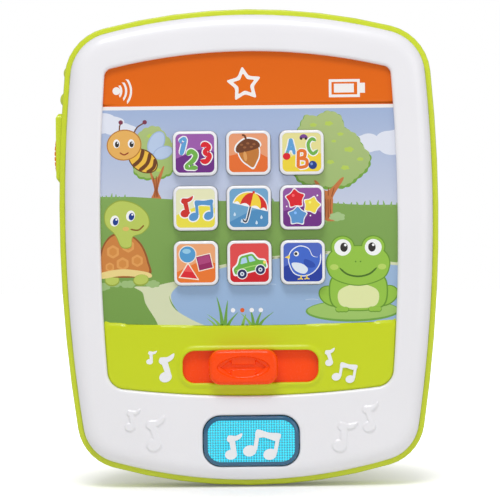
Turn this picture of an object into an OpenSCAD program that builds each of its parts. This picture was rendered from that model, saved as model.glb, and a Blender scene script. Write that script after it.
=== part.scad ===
// Toddler toy tablet: a two-part case with a picture screen, nine picture keys, a music slider,
// a light-up music button and a power switch on its edge, run by three AAA cells.
//
// Every module is drawn in the bench frame: the tablet lies on its back, +X to its right,
// +Y to its top edge, +Z out of its face, with Z = 0 on the back. stand() then sets it upright,
// so that the face looks along -Y, the top edge is up and the origin is on the back face.

/* [Body] */
// Width of the case at its widest
body_w = 172; // [168:1:176]
// Height of the case
body_h = 216; // [212:1:220]
// Thickness from the back to the crown of the front bezel
body_t = 28; // [27:0.5:30]
// Radius of the long curve of each side
side_r = 655; // [550:5:900]
// Height of the widest point above the middle
widest_y = 16.5; // [10:0.5:20]
// Radius of the top edge's curve
top_r = 266; // [240:2:300]
// Radius of the bottom edge's curve
bottom_r = 231; // [215:1:280]
// Radius of the two top corners
top_corner_r = 23.5; // [20:0.5:26]
// Radius of the two bottom corners
bottom_corner_r = 21.5; // [18:0.5:24]
// Thickness of the rear shell's wall, which shows as a ring round the bezel
wall = 2.5; // [2.2:0.1:2.8]

/* [Screen] */
// Width of the opening in the bezel
screen_w = 134; // [132:0.5:136]
// Height of the opening in the bezel
screen_h = 155.3; // [153:0.1:157]
// Height of the opening's middle above the middle of the case
screen_y = 10.7; // [10:0.1:12]
// Height of the step between the picture sheet and the slider panel
panel_y = -35; // [-36:0.5:-32]

/* [Keys] */
// Side of a square key
key_size = 20; // [18:0.5:20.5]
// Radius of a key's corners
key_r = 3.2; // [2:0.1:4]
// Distance between the columns of keys
key_pitch_x = 24; // [23.8:0.1:25]
// Distance between the rows of keys
key_pitch_y = 24.7; // [23.5:0.1:25]
// Height of the middle row above the middle of the case
keys_y = 17.7; // [17:0.1:19]
// How far a key stands above the picture sheet
key_rise = 3.5; // [2.5:0.1:4]
// How far a key can be pressed
key_travel = 1.2; // [0.8:0.1:1.4]

/* [Music slider] */
// Length of the slider's slot
slot_l = 61.2; // [58:0.2:64]
// Width of the slider's slot
slot_w = 14.6; // [13:0.2:15]
// Height of the slot above the middle of the case
slot_y = -53.8; // [-54.5:0.1:-53]
// Length of the slider's knob
knob_l = 31; // [28:0.5:34]
// Width of the slider's knob
knob_w = 15.4; // [15.2:0.1:16]
// How far the knob stands above the slider panel
knob_rise = 6.4; // [5:0.2:8]

/* [Light button] */
// Length of the button's clear lens
lens_l = 43; // [40:0.5:44]
// Width of the lens
lens_w = 22.4; // [21:0.2:23]
// Height of the button above the middle of the case
light_y = -87.2; // [-87.6:0.2:-86.4]
// How far the button can be pressed
lens_travel = 1.5; // [1:0.1:1.6]

/* [Power switch] */
// Height of the switch's housing above the middle of the case
switch_y = 46; // [44:0.5:46]
// Length of the housing on the left edge
housing_l = 31.4; // [31:0.2:33]
// Length of the switch's knob
switch_l = 16; // [14:0.5:17]
// Travel of the switch from off to its loudest setting
switch_travel = 7.4; // [6:0.2:7.6]

/* [Power and sound] */
// Diameter of a cell
cell_d = 10.5; // [10:0.1:10.5]
// Length of a cell with its cap
cell_l = 44.5; // [44:0.1:45]
// Height of the battery compartment above the middle of the case
cells_y = 36; // [35:0.5:37]
// Diameter of the speaker
speaker_d = 36; // [34:1:38]
// Height of the speaker above the middle of the case
speaker_y = -62; // [-63:0.5:-60]

/* [Hidden] */
KEYS = ["numbers", "acorn", "letters", "music", "umbrella", "stars", "shapes", "car", "bird"];
$fn = 48;

// Gaps: a seam between fixed parts, a running gap round a moving part, a gap between stacked parts
seam = 0.3;
run = 0.25;
stack = 0.1;
overcut = 1; // how far a cutting solid runs past the face it cuts

// Heights in the stack, from the face down
crown_z = body_t;
lip_z = crown_z - 1.1;         // inner edge of the bezel
sheet_z = crown_z - 2.5;       // top of the picture sheet
sheet_t = 0.3;
deck_z = sheet_z - sheet_t;    // top of the deck's plate
deck_t = 2;
panel_z = deck_z + 1.1;        // top of the slider panel
slot_lip_z = panel_z + 0.7;
roof_z = sheet_z + 0.2;        // underside of the bezel's plate
key_z = sheet_z + key_rise;
key_foot_z = deck_z - deck_t - 1.5;
plunger_z = key_foot_z - 1.1;
board_z = plunger_z - 3;       // front face of the circuit boards
board_t = 1.6;
rim_z = crown_z - 7;           // rim of the rear shell
skirt_z = rim_z - 5;           // foot of the bezel's skirt
floor_t = 2.4;
post_z = 12.2;                 // foot of the bezel's screw posts
cell_z = floor_t + 0.7 + cell_d / 2;
box_roof_z = cell_z + cell_d / 2 + 0.3;

ring = wall + seam;            // inset of the bezel from the case's outline
skirt_t = 2;
back_round = 6;                // how far the back's rounded edge runs in

// Screws: radius of the thread, the clearance hole, the pilot hole, the head and the head's well
thread_r = 1.3;
hole_r = 1.6;
pilot_r = thread_r + 0.05;
head_r = 2.6;
well_r = 3.4;
case_posts = [[69, 83], [75.5, -5], [58, -87]];
deck_posts = [[73, 40], [73, -38]];
board_posts = [[38.8, 56], [38.8, -9]];
light_post_x = 27.5;
guide_posts = [50, 12.7];

// Slider carriage: long enough to close the slot at both ends of its travel
slider_travel = 14.5;          // each way from the middle of the slot
slider_x = -3.2;               // where the slider rests
carriage_l = slot_l + 2 * slider_travel + 3;
carriage_w = 18.6;
carriage_z = panel_z - 2.2;    // top of the sliding plate
carriage_t = 1.8;
guide_z = carriage_z - carriage_t - 3.6; // underside of the guide's floor
guide_l = 126;
guide_w = 32;

// Outline of eight tangent arcs: [half width, top, bottom, side radius, side centre's height,
// top radius, bottom radius, top corner radius, bottom corner radius]
BODY = [body_w / 2, body_h / 2, -body_h / 2, side_r, widest_y, top_r, bottom_r,
        top_corner_r, bottom_corner_r];
SCREEN = [screen_w / 2, screen_y + screen_h / 2, screen_y - screen_h / 2, 900, 11, 266, 480, 4, 8];

// The point at distance a from p and b from q, on the upper or the lower side
function meeting(p, a, q, b, upper) =
    let (d = norm(q - p), x = (a * a - b * b + d * d) / (2 * d), h = sqrt(a * a - x * x),
         u = (q - p) / d, n = [-u[1], u[0]], m = p + u * x + n * h, w = p + u * x - n * h)
    (upper == (m[1] > w[1])) ? m : w;
function heading(from, to) = atan2(to[1] - from[1], to[0] - from[0]);
function arc(c, r, a, b, steps) =
    [for (i = [0 : steps - 1]) let (t = a + (b - a) * i / steps) c + r * [cos(t), sin(t)]];
// Right half of an outline, from its lowest point up to its highest, inset by d
function right_half(o, d) =
    let (side = [o[0] - o[3], o[4]], top = [0, o[1] - o[5]], low = [0, o[2] + o[6]],
         tc = meeting(top, o[5] - o[7], side, o[3] - o[7], true),
         bc = meeting(low, o[6] - o[8], side, o[3] - o[8], false))
    concat(arc(low, o[6] - d, -90, heading(low, bc), 4),
           arc(bc, o[8] - d, heading(low, bc), heading(side, bc), 7),
           arc(side, o[3] - d, heading(side, bc), heading(side, tc), 8),
           arc(tc, o[7] - d, heading(side, tc), heading(top, tc), 7),
           arc(top, o[5] - d, heading(top, tc), 90, 4),
           [[0, o[1] - d]]);
function outline(o, d) =
    let (half = right_half(o, d), n = len(half))
    concat(half, [for (i = [n - 2 : -1 : 1]) [-half[i][0], half[i][1]]]);
// X of the case's side at a height, on the side's long arc
function side_x(y) = BODY[0] - side_r + sqrt(side_r * side_r - (y - widest_y) * (y - widest_y));

module stand() rotate([90, 0, 0]) children();

module both_sides() {
    children();
    mirror([1, 0, 0]) children();
}

module slab(o, d, z0, z1) translate([0, 0, z0]) linear_extrude(z1 - z0) polygon(outline(o, d));

// One solid through [inset, height] levels of an outline, from the lowest level up
module loft(o, levels) {
    rings = [for (l = levels) [for (p = outline(o, l[0])) [p[0], p[1], l[1]]]];
    n = len(rings[0]);
    last = len(levels) - 1;
    bottom = [for (k = [1 : n - 2]) [0, k, k + 1]];
    top = [for (k = [1 : n - 2]) [last * n, last * n + k + 1, last * n + k]];
    walls = [for (i = [0 : last - 1], k = [0 : n - 1]) let (a = i * n + k, b = i * n + (k + 1) % n)
        each [[a, a + n, b], [b, a + n, b + n]]];
    polyhedron([for (r = rings) each r], concat(bottom, walls, top));
}

module box(size, at) translate([at[0] - size[0] / 2, at[1] - size[1] / 2, at[2]]) cube(size);

module rounded(size, r) {
    square([size[0] - 2 * r, size[1]], center = true);
    square([size[0], size[1] - 2 * r], center = true);
    for (x = [-1, 1], y = [-1, 1])
        translate([x * (size[0] / 2 - r), y * (size[1] / 2 - r)]) circle(r);
}

module tile(size, r, at, h) translate(at) linear_extrude(h) rounded(size, r);

module post(r, at, z0, z1) translate([at[0], at[1], z0]) cylinder(r = r, h = z1 - z0);

// Pan-head screw: head's top at z, shank going up from it
module screw(at, z, length) translate([at[0], at[1], z]) difference() {
    union() {
        cylinder(r = head_r, h = 1.7);
        cylinder(r = thread_r, h = 1.7 + length);
    }
    for (turn = [0, 90]) rotate(turn) box([2.8, 0.6, overcut + 0.9], [0, 0, -overcut]);
}

// Tube of radius r along a list of points, with flat ends; it never runs parallel to ref
module tube(path, r, sides = 6, ref = [0, 0, 1]) {
    n = len(path);
    function along(i) = let (t = path[min(i + 1, n - 1)] - path[max(i - 1, 0)]) t / norm(t);
    function across(t) = let (c = cross(t, ref)) c / norm(c);
    points = [for (i = [0 : n - 1]) let (t = along(i), u = across(t), v = cross(t, u))
        for (k = [0 : sides - 1]) path[i] + r * (u * cos(360 * k / sides) + v * sin(360 * k / sides))];
    walls = [for (i = [0 : n - 2], k = [0 : sides - 1]) let (m = (k + 1) % sides)
        [i * sides + k, (i + 1) * sides + k, (i + 1) * sides + m, i * sides + m]];
    ends = [[for (k = [0 : sides - 1]) k], [for (k = [sides - 1 : -1 : 0]) (n - 1) * sides + k]];
    triangles = [for (f = concat(walls, ends)) for (k = [1 : len(f) - 2]) [f[0], f[k], f[k + 1]]];
    polyhedron(points, triangles);
}

// Points of a smooth curve with four control points
function curve(p, steps = 10) = [for (i = [0 : steps]) let (t = i / steps, s = 1 - t)
    s * s * s * p[0] + 3 * s * s * t * p[1] + 3 * s * t * t * p[2] + t * t * t * p[3]];

// Music notes of height 1, standing on the X axis
module quaver() {
    translate([0.22, 0.17]) circle(0.19);
    polygon([[0.28, 0.18], [0.41, 0.22], [0.26, 0.74], [0.12, 0.7]]);
    polygon([[0, 0.74], [0.05, 0.86], [0.34, 0.9], [0.46, 1], [0.44, 0.82], [0.24, 0.68], [0.14, 0.62]]);
}

module beamed_quavers() {
    for (p = [[0.22, 0.31], [0.88, 0.19]]) translate(p) circle(0.2);
    polygon([[0.33, 0.3], [0.46, 0.33], [0.56, 0.9], [0.43, 0.93]]);
    polygon([[0.98, 0.2], [1.1, 0.22], [1.22, 0.8], [1.09, 0.8]]);
    polygon([[0.44, 0.72], [1.12, 0.6], [1.23, 0.85], [0.48, 1]]);
}

// Notes on the bezel and the slider panel, as [x, y, height, turn], and their relief
BEZEL_NOTES = [[-57.2, -82, 10.9, -10], [-47.2, -91.5, 16, 0], [35.6, -91.4, 15.4, -18], [50.1, -83.8, 13.6, 0]];
PANEL_NOTES = [[-47.2, -52, 6.8, -14], [-41.2, -60.5, 13, 0], [33.6, -53.9, 8.2, 0]];
PANEL_PAIR = [36.5, -61.7, 9.4];
relief = 0.4;

module panel_notes_2d() {
    for (n = PANEL_NOTES) translate([n[0], n[1]]) rotate(n[3]) scale(n[2]) quaver();
    translate([PANEL_PAIR[0], PANEL_PAIR[1]]) scale(PANEL_PAIR[2]) beamed_quavers();
}

// ---------------------------------------------------------------- case

// Battery compartment: a box round the cells, under a ledge that the door closes
cell_pitch = cell_d + 0.7;
bay = [54, 3 * cell_pitch + 0.4];
door = [76, bay[1] + 9];
door_r = 4;
door_t = 1.9;
door_screw_x = 33.4;

module battery_bay() {
    tile([door[0] + 4, door[1] + 4], door_r + 2, [0, cells_y, floor_t - 0.2], 1.8);
    tile([bay[0] + 3.6, bay[1] + 3.6], 2, [0, cells_y, floor_t], box_roof_z + 1.2 - floor_t);
    both_sides() post(5.4, [door_screw_x, cells_y], floor_t, 10.5);
}

module battery_bay_cut() {
    tile([door[0] + 0.6, door[1] + 0.6], door_r, [0, cells_y, -overcut], overcut + door_t + 0.4);
    tile(bay, 1, [0, cells_y, 0], box_roof_z);
    both_sides() {
        post(4.3, [door_screw_x, cells_y], 0, 4.1);
        post(pilot_r, [door_screw_x, cells_y], 0, 9.5);
    }
}

// Raised housing round the power switch on the left edge
housing_rise = 2.1;
housing_z = [7.5, 18.5];
module switch_housing() translate([-side_x(switch_y), switch_y, 0]) {
    end = housing_l / 2;
    translate([0, 0, (housing_z[0] + housing_z[1]) / 2]) rotate([0, -90, 0]) intersection() {
        translate([0, 0, -1.6]) linear_extrude(1.6 + housing_rise)
            rounded([housing_z[1] - housing_z[0], housing_l], 2.6);
        // sloping ends
        rotate([90, 0, 90]) translate([0, 0, -8]) linear_extrude(16)
            polygon([[-end - 1, -2], [-end - 1, 0.2], [-end + 2.6, housing_rise + 0.4],
                     [end - 2.6, housing_rise + 0.4], [end + 1, 0.2], [end + 1, -2]]);
    }
}

module switch_recess() translate([-side_x(switch_y), switch_y, (housing_z[0] + housing_z[1]) / 2])
    rotate([0, -90, 0]) {
        translate([0, 0, 0.2]) linear_extrude(housing_rise + overcut)
            rounded([7.4, switch_l + switch_travel + 1.4], 2);
        translate([0, 0, -wall - overcut]) linear_extrude(wall + 2 * overcut)
            rounded([2.6, switch_travel + 5], 1.2);
    }

// Pad under the switch's body, with a rib at each end
module switch_cradle() translate([-side_x(switch_y) + wall + 4.4, switch_y, floor_t - 0.2]) {
    box([4.4, 22.6, 7.9], [0, 0, 0]);
    for (s = [-1, 1]) box([4.4, 1.4, 12], [0, s * 10.9, 0]);
}

// Two domed finger marks above the switch
module finger_marks() for (y = [68.2, 80.2]) {
    x = y < 72 ? side_x(y) : side_x(y) - 0.6;
    intersection() {
        translate([-x + 2.1, y, 13]) sphere(3.9);
        box([4, 12, 12], [-x - 1, y, 7]);
    }
}

module speaker_grille() translate([0, speaker_y, -overcut]) {
    cylinder(r = 1.5, h = floor_t + 2 * overcut);
    for (row = [1 : 2], i = [0 : row * 6 - 1]) rotate(i * 60 / row) translate([row * 5.6, 0])
        cylinder(r = 1.5, h = floor_t + 2 * overcut);
}

speaker_post_r = speaker_d / 2 + 3.4;
speaker_posts = [for (a = [90, 210, 330]) [speaker_post_r * cos(a), speaker_y + speaker_post_r * sin(a)]];

module rear_shell() color("yellowgreen") difference() {
    union() {
        difference() {
            loft(BODY, concat(
                [for (a = [0 : 30 : 90]) [back_round * (1 - sin(a)), 9 * (1 - cos(a))]],
                [[0, rim_z - 1], [0.3, rim_z - 0.3], [0.9, rim_z]]));
            loft(BODY, [[back_round + 1.2, floor_t], [wall + 1.2, 5.5], [wall, 9.5], [wall, rim_z + overcut]]);
        }
        battery_bay();
        switch_housing();
        finger_marks();
        both_sides() for (p = case_posts) post(5, p, floor_t - 0.5, post_z - 0.2);
        translate([0, speaker_y, floor_t - 0.2]) difference() {
            cylinder(r = speaker_d / 2 + 1.6, h = 1.8);
            translate([0, 0, -overcut]) cylinder(r = speaker_d / 2 + 0.4, h = 4);
        }
        for (p = speaker_posts) post(2.4, p, floor_t - 0.2, 4.1);
        switch_cradle();
    }
    battery_bay_cut();
    switch_recess();
    both_sides() for (p = case_posts) {
        post(well_r, p, -overcut, 9);
        post(hole_r, p, 0, post_z + overcut);
    }
    for (p = speaker_posts) post(pilot_r, p, 1, 6);
    speaker_grille();
}

module front_bezel() color("white") difference() {
    union() {
        difference() {
            loft(BODY, [[ring, rim_z - 0.6], [ring, rim_z + 1.4], [ring + 0.6, crown_z - 3.6], [ring + 2, crown_z - 1.8],
                        [ring + 4.2, crown_z - 0.6], [ring + 7.5, crown_z]]);
            loft(BODY, [[ring + skirt_t, rim_z - 1], [ring + skirt_t, rim_z + 1.4], [ring + 4, roof_z - 1.2],
                        [ring + 6.5, roof_z]]);
        }
        difference() {
            slab(BODY, ring, skirt_z, rim_z);
            slab(BODY, ring + skirt_t, skirt_z - overcut, rim_z + overcut);
        }
        tile([lens_l + 4.2, lens_w + 4.2], 9.9, [0, light_y, key_foot_z + 0.5], roof_z + 0.5 - key_foot_z - 0.5);
        both_sides() {
            for (p = case_posts) post(4, p, post_z, roof_z + 0.3);
            for (p = deck_posts) post(3, p, deck_z - 2.2, roof_z + 0.3);
            post(2.8, [light_post_x, light_y], board_z, roof_z + 0.3);
        }
        for (n = BEZEL_NOTES) translate([n[0], n[1], crown_z - 0.3]) linear_extrude(0.3 + relief)
            rotate(n[3]) scale(n[2]) quaver();
    }
    slab(SCREEN, 0, roof_z - overcut, crown_z + overcut);
    loft(SCREEN, [[0, lip_z], [-1.4, crown_z + 0.05]]);
    tile([lens_l + 2 * run + 0.2, lens_w + 2 * run + 0.2], 8.1, [0, light_y, key_foot_z - overcut], 12);
    both_sides() {
        for (p = case_posts) post(pilot_r, p, post_z - overcut, crown_z - 4);
        for (p = deck_posts) post(pilot_r, p, deck_z - 3, crown_z - 1.3);
        post(pilot_r, [light_post_x, light_y], board_z - overcut, crown_z - 6);
    }
}

// Where the slider panel is: below a shallow arc
panel_arc_r = 1550;
module below_arc(gap = 0) translate([0, panel_y + panel_arc_r - 0.4 + gap]) difference() {
    translate([-90, -panel_arc_r - 90]) square([180, 180]);
    circle(panel_arc_r, $fn = 720);
}

module key_places() for (i = [0 : 8]) translate([key_x(i), key_y(i)]) children();
function key_x(i) = (i % 3 - 1) * key_pitch_x;
function key_y(i) = keys_y + (1 - floor(i / 3)) * key_pitch_y;
window = key_size + 2 * run;

module control_deck() color("yellowgreen") difference() {
    union() {
        difference() {
            slab(SCREEN, -3.4, deck_z - deck_t, deck_z);
            both_sides() for (p = concat(case_posts, deck_posts)) post(4.5, p, deck_z - 3, deck_z + 1);
        }
        translate([0, 0, deck_z - 0.1]) linear_extrude(panel_z - deck_z + 0.1) intersection() {
            polygon(outline(SCREEN, 0.2));
            below_arc();
        }
        tile([slot_l + 3.4, slot_w + 3.4], 7, [0, slot_y, panel_z - 0.2], slot_lip_z - panel_z + 0.2);
        translate([0, 0, panel_z - 0.2]) linear_extrude(0.2 + relief) panel_notes_2d();
        both_sides() {
            for (p = deck_posts) {
                box([10, 9, 2], [p[0] - 1.8, p[1], deck_z - 4.3]);
                box([3, 9, 4.2], [67.7, p[1], deck_z - 4.3]);
            }
            for (p = board_posts) post(2.8, p, board_z, deck_z - 1);
            for (y = [-1, 1]) post(2.8, [guide_posts[0], slot_y + y * guide_posts[1]], carriage_z - 4.2, deck_z - 1);
        }
    }
    tile([slot_l, slot_w], 5.4, [0, slot_y, deck_z - 4], 8);
    box([carriage_l + 2 * slider_travel + 1, carriage_w + 1, 4], [0, slot_y, carriage_z + stack - 4]);
    key_places() tile([window, window], key_r + run, [0, 0, deck_z - 4], 8);
    both_sides() {
        for (p = deck_posts) post(hole_r, p, deck_z - 6, deck_z - 1);
        for (p = board_posts) post(pilot_r, p, board_z - 1, deck_z - 0.8);
        for (y = [-1, 1]) post(pilot_r, [guide_posts[0], slot_y + y * guide_posts[1]], carriage_z - 6, deck_z - 0.8);
    }
}

module screen_sheet() color("lightsteelblue") translate([0, 0, deck_z + 0.02]) linear_extrude(sheet_t - 0.02)
    difference() {
        polygon(outline(SCREEN, -2.2));
        below_arc(0.15);
        translate([-90, -110]) square([180, 110 + panel_y - 5]);
        key_places() rounded([window, window], key_r + run);
    }

// ---------------------------------------------------------------- keys

label_size = key_size - 2.6;
label_t = 0.35;

module key(i) color("white") translate([key_x(i), key_y(i)]) difference() {
    union() {
        tile([key_size, key_size], key_r, [0, 0, key_foot_z], key_z - key_foot_z);
        tile([key_size + 2.6, key_size + 2.6], key_r + 1, [0, 0, key_foot_z], 1.4);
    }
    difference() {
        tile([key_size - 3, key_size - 3], 1.8, [0, 0, key_foot_z - overcut], key_z - key_foot_z + overcut - 2);
        post(2.2, [0, 0], key_foot_z - 2, key_z);
    }
    tile([label_size, label_size], 2.2, [0, 0, key_z - label_t], 1);
}

// The plunger reaches below the key's foot, so it's drawn as its own solid and joined to the key
module key_with_plunger(i) {
    key(i);
    color("white") translate([key_x(i), key_y(i)]) post(2.2, [0, 0], plunger_z, key_z - 1.9);
}

module label(i) color(["mediumpurple", "sandybrown", "palegoldenrod", "khaki", "steelblue", "indigo",
                       "darkorange", "crimson", "royalblue"][i])
    translate([key_x(i), key_y(i)])
        tile([label_size - 0.2, label_size - 0.2], 2.1, [0, 0, key_z - label_t + 0.02], label_t - 0.02);

module keypad_membrane() color("gainsboro") difference() {
    union() {
        tile([74, 75], 3, [0, keys_y + 5.3, board_z + 0.05], 0.95);
        key_places() translate([0, 0, board_z + 0.5]) cylinder(r1 = 5, r2 = 3.4, h = plunger_z - stack - board_z - 0.5);
    }
    key_places() translate([0, 0, board_z - 0.5]) cylinder(r1 = 4, r2 = 2.6, h = plunger_z - 0.3 - board_z);
    both_sides() for (p = board_posts) post(3.2, p, board_z - 1, board_z + 2);
}

// ---------------------------------------------------------------- music slider

module at_rest() translate([slider_x, 0, 0]) children();

knob_foot_z = slot_lip_z + 0.4;
knob_z = panel_z + knob_rise;
stem = [24, 13.4];

module slider_knob() color("orangered") difference() {
    union() {
        tile([knob_l, knob_w], 4.6, [0, slot_y, knob_foot_z], knob_z - knob_foot_z - 1);
        tile([knob_l - 1.6, knob_w - 1.6], 4, [0, slot_y, knob_foot_z + 1], knob_z - knob_foot_z - 1);
    }
    // thumb dish with a double arrow left standing in it
    difference() {
        translate([0, slot_y, knob_z + 33.6]) rotate([90, 0, 0]) cylinder(r = 35, h = 8.4, center = true, $fn = 96);
        translate([0, slot_y, knob_z - 3]) linear_extrude(2.4) double_arrow();
    }
    tile([stem[0] + 0.2, stem[1] - 3.8], 1.2, [0, slot_y, knob_foot_z - overcut], overcut + 1);
    both_sides() post(pilot_r, [8, slot_y], knob_foot_z - 1, knob_z - 2.6);
}

module double_arrow() {
    square([10, 1.4], center = true);
    for (s = [-1, 1]) polygon([[s * 4, -2.6], [s * 8.4, 0], [s * 4, 2.6]]);
}

module slider_carriage() color("orangered") difference() {
    union() {
        box([carriage_l, carriage_w, carriage_t], [0, slot_y, carriage_z - carriage_t]);
        tile(stem, 4, [0, slot_y, carriage_z - 0.2], knob_foot_z - carriage_z + 0.15);
        tile([stem[0], stem[1] - 4], 1.2, [0, slot_y, carriage_z], knob_foot_z + 0.9 - carriage_z);
    }
    both_sides() {
        post(hole_r, [8, slot_y], carriage_z - 4, knob_z);
        post(head_r + 0.3, [8, slot_y], carriage_z - 4, carriage_z + 0.4);
    }
}

// Springy leaf with two contact fingers, under the middle of the carriage
module slider_wiper() color("goldenrod") difference() {
    union() {
        box([7, 9, 0.3], [0, slot_y, carriage_z - carriage_t - 0.35]);
        for (y = [-3, 3]) {
            box([0.3, 1.6, 1], [3.3, slot_y + y, carriage_z - carriage_t - 1.2]);
            box([2.4, 1.6, 0.3], [2.3, slot_y + y, carriage_z - carriage_t - 1.2]);
        }
    }
    post(0.8, [0, slot_y], carriage_z - 4, carriage_z);
}

module slider_guide() color("white") difference() {
    union() {
        box([guide_l, guide_w, 1.2], [0, slot_y, guide_z]);
        for (s = [-1, 1]) {
            box([guide_l - 14, 1.6, carriage_z - carriage_t - stack - guide_z], [0, slot_y + s * 7.6, guide_z]);
            box([2 * guide_posts[0] - 8, 1.4, carriage_z - 0.9 - guide_z],
                [0, slot_y + s * (carriage_w / 2 + 1), guide_z]);
        }
    }
    both_sides() for (y = [-1, 1])
        post(hole_r, [guide_posts[0], slot_y + y * guide_posts[1]], guide_z - 1, guide_z + 3);
    box([6, 4, 3], [28.75, slot_y, guide_z - overcut]);
}

module slider_board() color("darkgreen") tile([70, 12.6], 1, [0, slot_y, guide_z + 1.25], 1);

// ---------------------------------------------------------------- light button

lens_z = crown_z + 0.6;
lens_foot_z = key_foot_z - 0.9;
leg_x = 20.8;

module light_lens() color("deepskyblue", 0.6) difference() {
    union() {
        tile([lens_l, lens_w], 7.8, [0, light_y, lens_foot_z], lens_z - 1.2 - lens_foot_z);
        tile([lens_l - 2.4, lens_w - 2.4], 6.6, [0, light_y, lens_foot_z], lens_z - lens_foot_z);
        tile([lens_l + 3, lens_w + 3], 8.9, [0, light_y, lens_foot_z], 1.3);
        both_sides() post(1.2, [leg_x, light_y], lens_foot_z - 1.1, lens_foot_z + 1);
    }
    tile([lens_l - 4, lens_w - 4], 5.8, [0, light_y, lens_foot_z - 2], lens_z - lens_foot_z);
}

module light_reflector() color("white") difference() {
    tile([35, 16.6], 6, [0, light_y, board_z + 0.02], 6.4);
    tile([32.6, 14.2], 4.8, [0, light_y, board_z - 1], 12);
}

module light_board() color("darkgreen") difference() {
    tile([61, 19], 1.5, [0, light_y, board_z - board_t], board_t);
    both_sides() post(hole_r, [light_post_x, light_y], board_z - 4, board_z + 1);
}

module light_leds() color("aliceblue") both_sides() translate([9, light_y, board_z + 0.02]) {
    cylinder(r = 1.9, h = 0.8);
    cylinder(r = 1.5, h = 2);
    translate([0, 0, 2]) sphere(1.5);
}

module light_domes() color("gainsboro") both_sides() translate([leg_x, light_y, board_z + 0.02])
    difference() {
        cylinder(r1 = 2.6, r2 = 1.6, h = lens_foot_z - 1.1 - stack - board_z);
        translate([0, 0, -0.01]) cylinder(r1 = 1.7, r2 = 1, h = lens_foot_z - 1.7 - board_z);
    }

// ---------------------------------------------------------------- electronics

module main_board() color("darkgreen") difference() {
    tile([86, 76], 2, [0, keys_y + 5.3, board_z - board_t], board_t);
    both_sides() for (p = board_posts) post(hole_r, p, board_z - 4, board_z + 1);
}

module board_chip() color("black") translate([-10, 4, board_z - board_t - 0.02]) intersection() {
    translate([0, 0, 9.4]) sphere(11.4);
    translate([0, 0, -4]) cylinder(r = 8, h = 4);
}

module board_components() color("dimgray") translate([0, 0, board_z - board_t - 0.02]) mirror([0, 0, 1]) {
    post(2.5, [8, 6], 0, 5.4);
    post(1.6, [14, 8], 0, 4);
    for (i = [0 : 3]) box([3.2, 1.6, 0.8], [6 + i * 4.4, -2, 0]);
    for (i = [0 : 2]) box([2, 1.2, 0.8], [-24 + i * 9, -8, 0]);
    box([6, 5, 1.6], [20, 6, 0]);
}

// ---------------------------------------------------------------- speaker

module speaker_basket() color("silver") translate([0, speaker_y, floor_t + 0.05]) difference() {
    union() {
        cylinder(r = speaker_d / 2, h = 1.4);
        cylinder(r1 = speaker_d / 2 - 1.6, r2 = 9, h = 5.4);
        for (a = [90, 210, 330]) rotate(a) difference() {
            box([10.4, 5, 0.8], [speaker_post_r - 2.6, 0, 1.7]);
            post(hole_r, [speaker_post_r, 0], 0, 4);
        }
    }
    translate([0, 0, -overcut]) cylinder(r = speaker_d / 2 - 3, h = overcut + 0.8);
    translate([0, 0, 0.7]) cylinder(r1 = speaker_d / 2 - 3, r2 = 7.6, h = 4);
    cylinder(r = 4, h = 12);
    for (a = [0 : 60 : 300]) rotate(a) translate([11, 0, -overcut]) cylinder(r = 2, h = 12);
}

module speaker_cone() color("dimgray") translate([0, speaker_y, floor_t + 0.35]) difference() {
    union() {
        cylinder(r = speaker_d / 2 - 3.2, h = 0.3);
        translate([0, 0, 0.1]) cylinder(r1 = speaker_d / 2 - 5, r2 = 5, h = 3.4);
    }
    translate([0, 0, -0.3]) cylinder(r1 = speaker_d / 2 - 5, r2 = 5, h = 3.4);
    translate([0, 0, 2.8]) cylinder(r = 3, h = 3);
}

module speaker_magnet() color("gray") translate([0, speaker_y, floor_t + 5.5]) {
    cylinder(r = 9.5, h = 1.2);
    cylinder(r = 8.4, h = 4.2);
}

// ---------------------------------------------------------------- batteries

// The row is 0 at the top, 1 in the middle and 2 at the bottom; the middle cell is turned round
function cell_y(row) = cells_y + (1 - row) * cell_pitch;
function facing(row) = row == 1 ? -1 : 1;
cap_tip = bay[0] / 2 - 0.6;    // where a cell's cap meets its plate

module cell(row) color("darkorange") translate([0, cell_y(row), cell_z]) rotate([0, facing(row) * 90, 0]) {
    translate([0, 0, cap_tip - cell_l]) cylinder(r = cell_d / 2, h = cell_l - 1);
    translate([0, 0, cap_tip - 1.2]) cylinder(r = 1.9, h = 1.2);
}

module battery_springs() color("silver") for (row = [0 : 2]) translate([0, cell_y(row), cell_z])
    rotate([0, -facing(row) * 90, 0]) {
        reach = bay[0] / 2 - 0.35;
        tip = cell_l - cap_tip + 0.1;
        box([9, 9, 0.3], [0, 0, reach - 0.3]);
        tube([for (i = [0 : 42]) let (t = i / 42, a = 360 * 3.5 * t, r = 3.6 - 1.6 * t)
            [r * cos(a), r * sin(a), reach - 0.67 - (reach - tip - 1.02) * t]], 0.32, 5);
    }

module battery_plates() color("silver") for (row = [0 : 2]) translate([0, cell_y(row), cell_z])
    rotate([0, facing(row) * 90, 0]) box([9, 9, 0.35], [0, 0, cap_tip + 0.1]);

module battery_door() color("yellowgreen") difference() {
    union() {
        tile([door[0], door[1]], door_r - 0.3, [0, cells_y, 0.3], door_t);
        // ribs that steady the cells
        for (x = [-14, 14]) box([1.4, bay[1] - 2, 0.6], [x, cells_y, 0.2 + door_t]);
        both_sides() post(4, [door_screw_x, cells_y], 0.3, 3.9);
    }
    both_sides() {
        post(hole_r, [door_screw_x, cells_y], -1, 5);
        post(head_r + 0.3, [door_screw_x, cells_y], -1, 2.3);
    }
    for (i = [-2 : 2]) box([26, 1, 1], [0, cells_y - door[1] / 2 + 4.5 + i * 1.5 + 2, -0.4]);
}

// ---------------------------------------------------------------- power switch

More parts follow.
